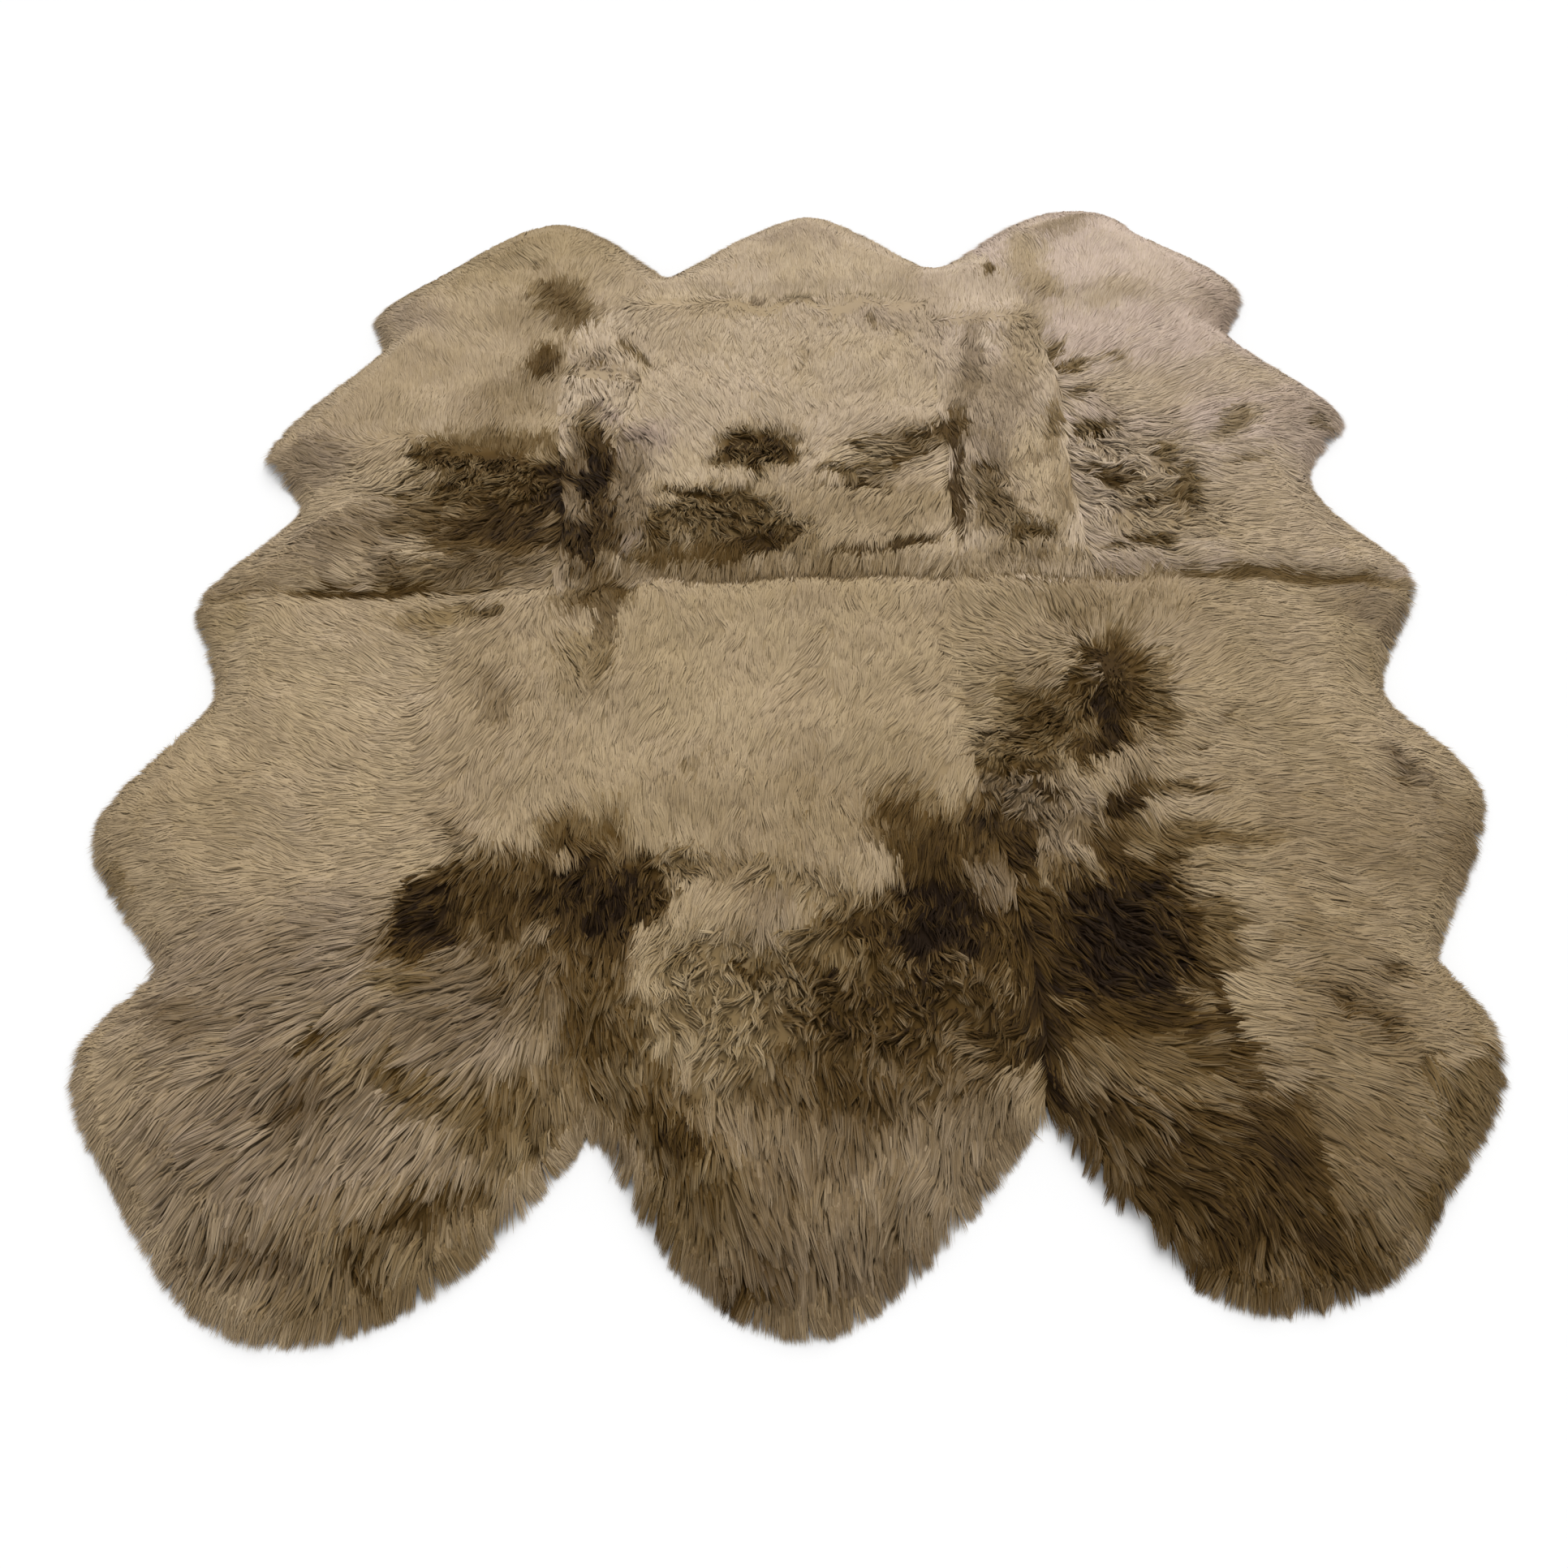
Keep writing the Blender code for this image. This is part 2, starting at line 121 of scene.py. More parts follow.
# Each piece is walked round counter-clockwise: along the rim from one meeting to another, or along a
# seam, which a minus sign turns round.
WALKS = {
    "front_left_pelt": [("left end", "front left notch"), "-front left", "-cross 2", "-cross 1"],
    "front_middle_pelt": [
        ("front left notch", "front right notch"), "-front right", "-cross 3", "front left",
    ],
    "front_right_pelt": [
        ("front right notch", "patch front"), "-patch", ("patch back", "right end"),
        "-cross 5", "-cross 4", "front right",
    ],
    "front_corner_patch": [("patch front", "patch back"), "patch"],
    "back_right_pelt": [("right end", "strip top right"), "-right strip outer", "cross 5"],
    "back_right_strip": [
        ("strip top right", "strip top left"), "-right strip inner high", "-right strip inner low",
        "cross 4", "right strip outer",
    ],
    "back_middle_collar": [
        ("strip top left", "back left notch"), "-back left high", "collar", "right strip inner high",
    ],
    "back_middle_pelt": [
        "cross 3", "right strip inner low", "-collar", "-back left low", "-left strip inner",
    ],
    "back_left_pelt": [
        ("back left notch", "left end"), "cross 1", "left strip outer", "back left low", "back left high",
    ],
    "back_left_strip": ["cross 2", "left strip inner", "-left strip outer"],
}
RIM_STEP = 0.004
SOFTENING = 0.010  # the outline's corners are rounded to about this
COMB = 0.032  # directions out of the rim are evened out over this length
HANG = 0.027  # the wool hangs this far past the skins
NOTCH_HANG = 0.016  # and this far at the bottom of a notch
NOTCH_SPREAD = 0.050
SKIN = 0.0018
SEAM_GAP = 0.0003
SEAM_STEP = 0.008
STITCH = 0.0007  # the skins lie this far over the floor, on their overcast stitches


def heading(degrees):
    """Unit vectors of the floor's plane: the cosine and the sine of the angle."""
    turn = np.radians(degrees)
    return np.stack([np.cos(turn), np.sin(turn)], axis=-1)


def cubic(start, start_handle, end_handle, end):
    """Cubic Bezier curve: the four points weighted by the terms of (1 - t) plus t, cubed."""
    t = np.linspace(0, 1, 60, endpoint=False)[:, None]
    near, far = (1 - t) ** 3 * start, t**3 * end
    return near + 3 * (1 - t) ** 2 * t * start_handle + 3 * (1 - t) * t**2 * end_handle + far


def evenly(line, step):
    """The line again, with points at equal distances of about this step, both ends kept."""
    along = np.concatenate([[0], np.cumsum(np.linalg.norm(np.diff(line, axis=0), axis=1))])
    at = np.linspace(0, along[-1], max(2, round(along[-1] / step)) + 1)
    return np.stack([np.interp(at, along, line[:, axis]) for axis in (0, 1)], axis=1)


def averaged(ring, reach):
    """Each point of a closed ring averaged with its neighbours, weighted by a bell curve."""
    offsets = np.arange(-round(4 * reach / RIM_STEP), round(4 * reach / RIM_STEP) + 1)
    weights = np.exp(-0.5 * (offsets * RIM_STEP / reach) ** 2)
    return sum(w * np.roll(ring, -k, axis=0) for w, k in zip(weights / weights.sum(), offsets))


def rug_outline():
    """Two cubic curves a lobe, tip to notch and notch to next tip, in even steps, corners softened."""
    runs = []
    for lobe, following in zip(LOBES, LOBES[1:] + LOBES[:1]):
        tip, next_tip = np.array(lobe[:2]), np.array(following[:2])
        notch = np.array([lobe.notch_x, lobe.notch_y])
        level = lobe.rounding * (next_tip - tip) / np.linalg.norm(next_tip - tip)
        runs.append(cubic(tip, tip + lobe.after * heading(lobe.faces + 90), notch - level, notch))
        handle = next_tip - following.before * heading(following.faces + 90)
        runs.append(cubic(notch, notch + level, handle, next_tip))
    ring = np.vstack(runs + [runs[0][:1]]) / 1000
    return averaged(evenly(ring, RIM_STEP)[:-1], SOFTENING)


def nearest(points, line):
    """Distance from each point to the line's nearest point, and that point's number, in blocks.

    The square of the distance is the sum of both squares less twice the product of the two places.
    """
    distances, numbers = [], []
    for block in np.array_split(points, len(points) // 4000 + 1):
        squares = (line**2).sum(axis=1) - 2 * block @ line.T
        number = squares.argmin(axis=1)
        numbers.append(number)
        distances.append(np.linalg.norm(block - line[number], axis=1))
    return np.concatenate(distances), np.concatenate(numbers)


def seam_line(name):
    """A Catmull-Rom curve from meeting to meeting: each handle is a sixth of its neighbours' span."""
    stops = []
    for stop in SEAMS[name]:
        if stop in RIM_MEETINGS:
            stops.append(skin_edge[nearest(np.array([MEETINGS[stop]]) / 1000, outline)[1][0]])
        else:
            stops.append(np.array(MEETINGS.get(stop, stop)) / 1000)
    ends = np.vstack([2 * stops[0] - stops[1], stops, 2 * stops[-1] - stops[-2]])
    runs = [
        cubic(b, b + (c - a) / 6, c - (d - b) / 6, c)
        for a, b, c, d in zip(ends, ends[1:], ends[2:], ends[3:])
    ]
    return evenly(np.vstack(runs + [stops[-1]]), SEAM_STEP)


def piece_ring(name, rim):
    """The closed outline of a piece, with this ring of points for the part that lies at the rim."""
    runs = []
    for step in WALKS[name]:
        if isinstance(step, tuple):
            ends = np.array([MEETINGS[step[0]], MEETINGS[step[1]]]) / 1000
            first, last = nearest(ends, outline)[1]
            last += len(outline) * (last <= first)
            runs.append(rim[np.arange(first, last) % len(outline)])
        else:
            line = seams[step.lstrip("-")]
            runs.append((line[::-1] if step.startswith("-") else line)[:-1])
    return np.vstack(runs)


def inside(points, ring):
    """Whether each point is inside: a line from it along X crosses an odd number of the ring's sides."""
    (ax, ay), (bx, by) = ring.T, np.roll(ring, -1, axis=0).T
    found = np.zeros(len(points), bool)
    near = np.flatnonzero(((points > ring.min(axis=0)) & (points < ring.max(axis=0))).all(axis=1))
    for block in np.array_split(near, len(near) // 4000 + 1):
        x, y = points[block, 0, None], points[block, 1, None]
        spans = (ay > y) != (by > y)
        crossing = ax + (y - ay) * (bx - ax) / np.where(by == ay, 1, by - ay)
        found[block] = (spans & (x < crossing)).sum(axis=1) % 2 == 1
    return found


outline = rug_outline()
travel = np.roll(outline, -1, axis=0) - np.roll(outline, 1, axis=0)
outward = averaged(np.stack([travel[:, 1], -travel[:, 0]], axis=1), COMB)
outward /= np.linalg.norm(outward, axis=1)[:, None]
notches = np.array([(lobe.notch_x, lobe.notch_y) for lobe in LOBES]) / 1000
near_notch = np.exp(-((nearest(outline, notches)[0] / NOTCH_SPREAD) ** 2))
skin_edge = outline - outward * (HANG - (HANG - NOTCH_HANG) * near_notch)[:, None]
seams = {name: seam_line(name) for name in SEAMS}

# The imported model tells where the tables' middle lies.
low, high = (np.array(corner)[:2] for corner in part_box("back_middle_pelt"))
ring = piece_ring("back_middle_pelt", skin_edge)
OFFSET = (low + high) / 2 - (ring.min(axis=0) + ring.max(axis=0)) / 2


def drawn_in(ring, by):
    """A ring moved inwards: each point goes along the sum of its two sides' inward normals."""
    sides = np.roll(ring, -1, axis=0) - ring
    sides /= np.linalg.norm(sides, axis=1)[:, None]
    inward = np.stack([-sides[:, 1], sides[:, 0]], axis=1)
    before = np.roll(inward, 1, axis=0)
    return ring + by * (inward + before) / np.maximum(1 + (inward * before).sum(axis=1), 0.4)[:, None]


def make_piece(name, points, corners, sides):
    """A mesh from its points, the numbers of its faces' corners in a row, and each face's side count."""
    mesh = bpy.data.meshes.new(name)
    placed = points + np.append(OFFSET, 0)
    mesh.vertices.add(len(placed))
    mesh.vertices.foreach_set("co", placed.astype(np.float32).ravel())
    mesh.loops.add(len(corners))
    mesh.loops.foreach_set("vertex_index", corners.astype(np.int32))
    mesh.polygons.add(len(sides))
    starts = np.concatenate([[0], np.cumsum(sides)[:-1]])
    mesh.polygons.foreach_set("loop_start", starts.astype(np.int32))
    mesh.polygons.foreach_set("use_smooth", np.full(len(sides), True))
    mesh.update(calc_edges=True)
    piece = bpy.data.objects.new(name, mesh)
    bpy.context.scene.collection.objects.link(piece)
    return piece


def flat_body(name, ring, tops, bottom, inner=np.empty((0, 2))):
    """A closed body on a flat base: the ring and the inner points at their tops, joined in triangles."""
    count = len(ring)
    plan = np.vstack([ring, inner])
    _, _, triangles, origins, _, _ = delaunay_2d_cdt(plan.tolist(), [], [range(count)], 1, 1e-6)
    order = np.array([origin[0] for origin in origins])
    triangles = order[np.array(triangles)]
    base = np.column_stack([ring, np.full(count, bottom)])
    points = np.vstack([np.column_stack([plan, tops]), base])
    here = np.arange(count)
    after = (here + 1) % count
    walls = np.stack([len(plan) + here, len(plan) + after, after, here], axis=1)
    corners = np.concatenate([triangles.ravel(), walls.ravel(), len(plan) + here[::-1]])
    sides = np.concatenate([np.full(len(triangles), 3), np.full(count, 4), [count]])
    return make_piece(name, points, corners, sides)


class Wire:
    """An output of a shader node. A wire times a wire or a number, either way round, adds a Math node."""

    def __init__(self, finish, socket):
        self.finish, self.socket = finish, socket

    def __mul__(self, other):
        return self.finish.node("ShaderNodeMath", {"operation": "MULTIPLY"}, self, other)

    __rmul__ = __mul__

    def within(self, low, high):
        """From 0 at low to 1 at high, eased at both ends."""
        eased = {"interpolation_type": "SMOOTHSTEP"}
        return self.finish.node("ShaderNodeMapRange", eased, self, low, high)


class Finish:
    """A material, with its Principled shader and the nodes that feed it."""

    def __init__(self, name, roughness, specular):
        self.material = bpy.data.materials.new(name)
        self.material.use_nodes = True
        self.tree = self.material.node_tree
        self.shader = self.tree.nodes["Principled BSDF"]
        self.set(self.shader.inputs["Roughness"], roughness)
        self.set(self.shader.inputs["Specular IOR Level"], specular)

    def set(self, socket, value):
        """Links a wire to a socket, or sets the socket to a number or colour."""
        if isinstance(value, Wire):
            self.tree.links.new(value.socket, socket)
        else:
            socket.default_value = value

    def node(self, kind, settings, *values, output=0):
        """A node of this kind: its settings first, then its sockets in order. None leaves one alone."""
        node = self.tree.nodes.new(kind)
        for key, value in settings.items():
            if key == "stops":
                ramp = node.color_ramp
                while len(ramp.elements) < len(value):
                    ramp.elements.new(1)
                for element, (at, colour) in zip(ramp.elements, value):
                    element.position, element.color = at, colour
            else:
                setattr(node, key, value)
        for socket, value in zip([s for s in node.inputs if s.enabled], values):
            if value is not None:
                self.set(socket, value)
        return Wire(self, [s for s in node.outputs if s.enabled][output])

    def mix(self, share, first, second):
        """A colour between two colours."""
        return self.node("ShaderNodeMix", {"data_type": "RGBA"}, share, first, second)

    def noise(self, size, detail):
        """Noise from 0 to 1 on the piece's own coordinates, with patches of about this size."""
        place = self.node("ShaderNodeTexCoord", {}, output=3)
        return self.node("ShaderNodeTexNoise", {}, place, 1 / size, detail)

    def bump(self, height, depth):
        """Shades the surface as if height, from 0 to 1, raised it by this depth in metres."""
        normal = self.node("ShaderNodeBump", {}, 1.0, depth, None, height)
        self.set(self.shader.inputs["Normal"], normal)


def colour(red, green, blue):
    """Linear colour from the display's values, 0 to 255: the power 2.2 of each share."""
    return tuple((value / 255) ** 2.2 for value in (red, green, blue)) + (1.0,)


suede = Finish("suede", roughness=0.9, specular=0.2)
cloud = suede.noise(0.09, 3)
fine = suede.noise(0.004, 4)
tanned = suede.mix(cloud.within(0.35, 0.7), colour(205, 188, 160), colour(186, 164, 132))
suede.set(
    suede.shader.inputs["Base Color"],
    suede.mix(fine.within(0.3, 0.75) * 0.5, tanned, colour(224, 210, 186)),
)
suede.bump(fine, 0.0006)

for name in WALKS:
    ring = drawn_in(piece_ring(name, skin_edge), SEAM_GAP / 2)
    hide = flat_body(name.replace("_pelt", "") + "_hide", ring, np.full(len(ring), SKIN + STITCH), STITCH)
    hide.data.materials.append(suede.material)
    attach(hide, "root")


# The seams. Furriers overcast the edges on the skin side with waxed thread, one stitch every 5 mm. Each
# slants over the seam, flat underneath and ridged above, and its ends rise into the two skins.
STITCH_STEP = 0.005
STITCH_REACH = 0.0035
THREAD = 0.00035
SLANT = (0.6, 0.5)  # across the seam and along it
# reach, width and level of a stitch's points: four pairs from end to end, then the ridge
STITCH_POINTS = np.array([
    (-1, -0.6, 1.0), (-1, 0.6, 1.0), (-0.5, -1, 0.15), (-0.5, 1, 0.15), (0.5, -1, 0.15),
    (0.5, 1, 0.15), (1, -0.6, 1.0), (1, 0.6, 1.0), (-0.5, 0, 0.8), (0.5, 0, 0.8),
])
STITCH_FACES = np.array([
    (0, 2, 3), (0, 3, 1), (2, 4, 5), (2, 5, 3), (4, 6, 7), (4, 7, 5), (0, 8, 2), (2, 8, 9), (2, 9, 4),
    (4, 9, 6), (1, 3, 8), (3, 9, 8), (3, 5, 9), (5, 7, 9), (0, 1, 8), (6, 9, 7),
])

lines = [evenly(seam, STITCH_STEP) for seam in seams.values()]
middles = np.vstack([line[:-1] for line in lines])
along = np.vstack([np.diff(line, axis=0) for line in lines])
along /= np.linalg.norm(along, axis=1)[:, None]
across = np.stack([-along[:, 1], along[:, 0]], axis=1)
slant = SLANT[0] * across + SLANT[1] * along
slant /= np.linalg.norm(slant, axis=1)[:, None]
beside = np.stack([-slant[:, 1], slant[:, 0]], axis=1)
reach, width, level = STITCH_POINTS.T[..., None]
place = middles[:, None] + reach * STITCH_REACH * slant[:, None] + width * THREAD * beside[:, None]
levels = np.broadcast_to(level * STITCH, (*place.shape[:2], 1))
stitch_points = np.concatenate([place, levels], axis=2)
corners = (np.arange(len(middles))[:, None, None] * len(STITCH_POINTS) + STITCH_FACES).ravel()
thread = Finish("waxed thread", roughness=0.6, specular=0.4)
fibres = thread.mix(thread.noise(0.0012, 2), colour(196, 180, 148), colour(224, 212, 186))
thread.set(thread.shader.inputs["Base Color"], fibres)
sides = np.full(len(corners) // 3, 3)
stitches = make_piece("seam_stitches", stitch_points.reshape(-1, 3), corners, sides)
stitches.data.materials.append(thread.material)
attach(stitches, "root")


# The lie of the wool: how high it stands over the floor at each place, and which way is out to the rim.
# It is level inside, rolls down over the rim, dips over the seams, and swells and sinks a little.
CELL = 0.005
PILE = 0.047
RIM_PILE = 0.023
LOWEST_PILE = 0.011
ROLL = 0.0354
FURROW = 0.014  # over the seam between the two rows
SHALLOW_FURROW = 0.003  # over the others, which the wool closes
FURROW_REACH = 0.022
RIM_CURVE = 0.55  # the power of the curve by which it sinks past the skins
SWELL = 0.00225
SWELLS = [(24, 9, 0.4), (-13, 27, 1.9), (36, -17, 3.1), (11, 41, 5.0)]  # waves along X and Y, and start
HUMMOCKS = [(0.003, 0.055, 11), (0.002, 0.028, 12)]  # height, size and seed
LEVEL_RIM = 0.05  # nearer to the skins' rim than this, swells and hummocks die away

sheet_x = np.arange(-1.0, 1.0, CELL)
sheet_y = np.arange(-1.06, 1.06, CELL)
cells = np.stack(np.meshgrid(sheet_x, sheet_y, indexing="ij"), axis=-1).reshape(-1, 2)
to_rim, rim_number = nearest(cells, outline[::2])
way_out = outward[::2][rim_number]
outside = ((cells - outline[::2][rim_number]) * way_out).sum(axis=1) > 0
to_rim = np.where(outside, -to_rim, to_rim)
to_skin = to_rim - nearest(outline[::2], skin_edge)[0][rim_number]
cross_lines = [line for name, line in seams.items() if name.startswith("cross")]
to_cross = nearest(cells, np.vstack(cross_lines))[0]
to_seam = nearest(cells, np.vstack(list(seams.values())))[0]
piece_number = np.zeros(len(cells), int)
past_rim = outline + 0.07 * outward
for number, name in enumerate(WALKS):
    piece_number[inside(cells, piece_ring(name, past_rim))] = number


def spread(values):
    """Values of the cells as a sheet with two directions."""
    return values.reshape(len(sheet_x), len(sheet_y), -1)


def read(sheet, points):
    """The sheet at any point: its four nearest cells, weighted by how near they are."""
    place = (points - (sheet_x[0], sheet_y[0])) / CELL
    place = np.clip(place, 0, np.array(sheet.shape[:2]) - 1.001)
    cell = place.astype(int)
    (i, j), (u, v) = cell.T, (place - cell).T[..., None]
    left = sheet[i, j] * (1 - v) + sheet[i, j + 1] * v
    right = sheet[i + 1, j] * (1 - v) + sheet[i + 1, j + 1] * v
    return (left * (1 - u) + right * u).squeeze()


def eased(share):
    """A share from 0 to 1, made level at both ends: three times its square, less twice its cube."""
    return share * share * (3 - 2 * share)


def ripple(points, size, seed):
    """Noise from -1 to 1: random numbers on a square mesh of this size, eased from one to the next."""
    table = np.random.default_rng(seed).uniform(-1, 1, (256, 256))
    place = points / size + 128.0
    cell = np.floor(place).astype(int)
    u, v = eased(place - cell).T
    i, j = cell.T % 256
    after_i, after_j = (i + 1) % 256, (j + 1) % 256
    left = table[i, j] * (1 - v) + table[i, after_j] * v
    right = table[after_i, j] * (1 - v) + table[after_i, after_j] * v
    return left * (1 - u) + right * u


def ripples(points, rows):
    """The sum of several ripples, from rows of height, size and seed."""
    return sum(height * ripple(points, size, seed) for height, size, seed in rows)


def bell(distance, reach):
    """1 at no distance, falling to 1/e at the reach."""
    return np.exp(-((distance / reach) ** 2))


over_rim = np.clip(to_rim / np.maximum(to_rim - to_skin, 0.001), 0, 1) ** RIM_CURVE
furrow = np.maximum(FURROW * bell(to_cross, FURROW_REACH), SHALLOW_FURROW * bell(to_seam, FURROW_REACH))
swell = SWELL * sum(np.sin(cells @ (a, b) + start) for a, b, start in SWELLS)
level = PILE - (PILE - RIM_PILE) * bell(np.maximum(to_skin, 0), ROLL) - furrow
swell = (swell + ripples(cells, HUMMOCKS)) * np.clip(to_skin / LEVEL_RIM, 0.2, 1)
level = np.maximum(level + swell, LOWEST_PILE)
top = spread(np.where(to_skin > 0, level, level * over_rim))
rim, skins, cross, joins = spread(to_rim), spread(to_skin), spread(to_cross), spread(to_seam)
out = spread(way_out)
slope = spread(np.stack(np.gradient(top[..., 0], CELL), axis=-1).reshape(-1, 2))


# The colour of the wool. Every strand is read from a chart: from dark to light along U, and from olive
# to pink along V, so a strand's UV map says how dark it is from root to tip and how warm its wool is.
TONES = (0.0, 0.25, 0.5, 0.75, 1.0)
CHART = {
    0.0: [(29, 18, 3), (80, 60, 28), (125, 105, 73), (167, 147, 114), (210, 190, 156)],
    0.33: [(29, 18, 4), (79, 60, 31), (124, 105, 78), (167, 147, 118), (209, 190, 162)],
    0.67: [(28, 18, 6), (78, 60, 35), (122, 105, 83), (166, 147, 124), (209, 190, 168)],
    1.0: [(28, 19, 8), (78, 61, 40), (123, 105, 89), (167, 147, 131), (210, 190, 176)],
}
GAIN = 0.995  # a last trim of the whole chart, to suit the lamp
OLIVE, TAN, TAUPE, PINK = 0.08, 0.30, 0.62, 0.92

wool = Finish("wool", roughness=0.78, specular=0.1)
place = wool.node("ShaderNodeUVMap", {"uv_map": "OFBake"})
tone = wool.node("ShaderNodeSeparateXYZ", {}, place, output=0)
hue = wool.node("ShaderNodeSeparateXYZ", {}, place, output=1)
dyes = []
for warmth, row in CHART.items():
    stops = [
        (at, tuple(min(1.0, GAIN * part) for part in colour(*dye)[:3]) + (1.0,))
        for at, dye in zip(TONES, row)
    ]
    dyes.append((warmth, wool.node("ShaderNodeValToRGB", {"stops": stops}, tone)))
shade = dyes[0][1]
for (warmth, _), (next_warmth, stain) in zip(dyes, dyes[1:]):
    share = wool.node("ShaderNodeMapRange", {"clamp": True}, hue, warmth, next_warmth)
    shade = wool.mix(share, shade, stain)
wool.set(wool.shader.inputs["Base Color"], shade)
wool.set(wool.shader.inputs["Sheen Weight"], 0.04)
wool.set(wool.shader.inputs["Sheen Roughness"], 0.5)
wool.set(wool.shader.inputs["Sheen Tint"], colour(235, 222, 200))


def dye(piece, tones, hues):
    """Gives each point of a piece its place on the chart, and marks the piece as wool."""
    corners = np.empty(len(piece.data.loops), np.int32)
    piece.data.loops.foreach_get("vertex_index", corners)
    chart = np.column_stack([np.clip(tones, 0.01, 0.99), np.clip(hues, 0.01, 0.99)]).astype(np.float32)
    piece.data.uv_layers.new(name="OFBake").data.foreach_set("uv", chart[corners].ravel())
    piece.data.materials.append(wool.material)


# The markings. Whole pelts are darker, greyer or paler in places, with their own curl. Each place is an
# ellipse with a ragged, soft edge, and later ones lie over earlier ones. Those in this table run across a
# seam; the dark bands along the seam between the rows are painted shade of the furrow there. The rest
# stand with their pelt.
Marking = namedtuple("Marking", "x y long wide turned soft tone hue curl shag dip")


def marking(x, y, long, wide, turned, soft, tone, hue, curl, shag, dip=0):
    """A marking in metres and shares, from its row in a table: its middle and half its length and width
    in mm, the way that its length is turned, how soft its edge is as a share of its size, its place on
    the chart (the tone in percent), its curl and shag in percent, and how many mm lower it lies."""
    metres = [value / 1000 for value in (x, y, long, wide)]
    return Marking(*metres, turned, soft, tone / 100, hue, curl / 100, shag / 100, dip / 1000)


CROSSING = [
    # between the front left and middle pelts
    (-360, -480, 70, 52, 10, 0.7, 15, TAN, 30, 30, 3), (-290, -405, 50, 35, 20, 0.9, 34, OLIVE, 20, 10, 1),
    (-272, -600, 65, 55, 85, 0.9, 22, TAN, 50, 30, 2), (-210, -495, 50, 34, 85, 0.7, 27, OLIVE, 90, 10, 2),
    (-268, -505, 82, 60, -65, 0.8, 3, TAN, 60, 30, 6), (-165, -455, 28, 20, 80, 0.8, 46, OLIVE, 90, 10),
    (-260, -655, 80, 50, 80, 0.8, 25, OLIVE, 30, 50, 2),
    (-210, -720, 50, 35, -70, 0.8, 30, OLIVE, 30, 60, 1), (-290, -15, 60, 30, 5, 0.8, 24, OLIVE, 10, 10, 3),
    (-285, -75, 60, 16, -80, 1, 38, TAN, 10, 20, 1), (-310, -145, 55, 35, -70, 1.1, 52, OLIVE, 20, 30),
    # between the front middle and right pelts
    (215, -425, 70, 45, -55, 0.8, 15, TAN, 30, 40, 3), (248, -450, 30, 20, -60, 0.6, 3, TAN, 50, 20, 5),
    (240, -555, 85, 58, 85, 0.8, 11, OLIVE, 40, 30, 3), (203, -487, 34, 24, -35, 1, 40, TAUPE, 30, 40),
    (238, -695, 85, 28, -82, 0.8, 17, TAN, 30, 50, 3), (303, -472, 34, 22, 0, 1, 33, TAN, 50, 30, 2),
    (222, -70, 150, 60, 88, 1.3, 65.5, 0.25, 10, 20),
    # along the seam between the rows: painted shade of the furrow there, as dark bands over a real dip
    (-590, 3, 150, 16, 0, 0.8, 27, OLIVE, 10, 10, 3), (690, 6, 170, 14, -3, 0.9, 40, OLIVE, 0, 0, 2),
    (0, 14, 250, 10, 0, 1, 46, TAN, 0, 10, 2), (380, 10, 190, 10, -1, 1, 46, TAN, 0, 10, 2),
    (-470, 37, 130, 22, 0, 0.9, 40, TAN, 50, 10, 1),
    # between the back left pelt, the left strip and the back middle pelt
    (-325, 150, 145, 60, 90, 0.7, 8, TAN, 40, 50, 3), (-262, 190, 85, 30, 88, 1, 46, TAUPE, 20, 30, 1),
    (-345, 168, 50, 11, -78, 0.9, 47, TAUPE, 10, 30), (-352, 270, 40, 10, -75, 0.9, 50, TAUPE, 10, 30),
    (-313, 278, 32, 13, -80, 0.8, 17, OLIVE, 30, 20, 2), (-274, 518, 52, 12, -52, 0.8, 40, OLIVE, 20, 20, 2),
    # between the back middle pelt, the right strip and the back right pelt
    (229, 180, 140, 16, 86, 0.9, 18, TAUPE, 10, 20, 4), (238, 325, 40, 24, 70, 0.9, 27, OLIVE, 20, 20, 2),
    (385, 540, 95, 36, 80, 1.2, 68, TAN, 10, 20), (400, 330, 55, 12, 85, 0.9, 42, OLIVE, 0, 30),
    (412, 775, 85, 36, 85, 1.2, 70, TAN, 10, 10), (222, 560, 150, 40, 88, 1.3, 76.5, TAUPE, 0, 10, 1),
    (427, 375, 40, 11, -72, 0.9, 70, TAUPE, 0, 20),
]


# The wool itself. A short, dense underwool fills the space near the skin. Over it every strand of the
# long wool is a flat blade of two triangles that leaves the skin, bends over with the comb and lies on
# the wool in front of it. Strands draw together into small tufts, and the tufts into locks.
UNDER_STEP = 0.014
STRAND_SPACING = 0.0028
FRINGE_SPACING = 0.0020
FRINGE = 0.018  # more strands grow this near to the skin's rim, and hang out over it
STRAND = 0.045
STRAND_WIDTH = 0.0020  # at its widest; each strand has from 0.6 to 1.4 of it
TUFT = 0.010
LOCK = 0.026
GUIDE_SPREAD = 0.03  # nearer to a guide of the comb than this, its weight hardly grows
LEAST_COMB = 0.6  # where ways meet, strands still lean by this share
CLOSING = 0.018  # where wool parts over a seam, strands start this far beyond the seam
# how much, and how near to the line
TURN_OUT, STAND_UP = (0.65, 0.035), (0.4, 0.012)
# painted shade: the wool's tone is darkened near the rim, in the furrow over the seam between the rows, and
# over every seam
RIM_SHADE, CROSS_SHADE, SEAM_SHADE = (0.05, 0.012), (0.26, 0.013), (0.02, 0.010)
# ripples, by height, size and seed: of the markings' edges, of the way that wool lies, and of its tone
RAGGED = [(0.24, 0.035, 41), (0.20, 0.014, 42)]
SWING = [(np.radians(17), 0.055, 51), (np.radians(15), 0.020, 52)]
STREAKS = [(0.025, 0.030, 71), (0.030, 0.11, 72)]
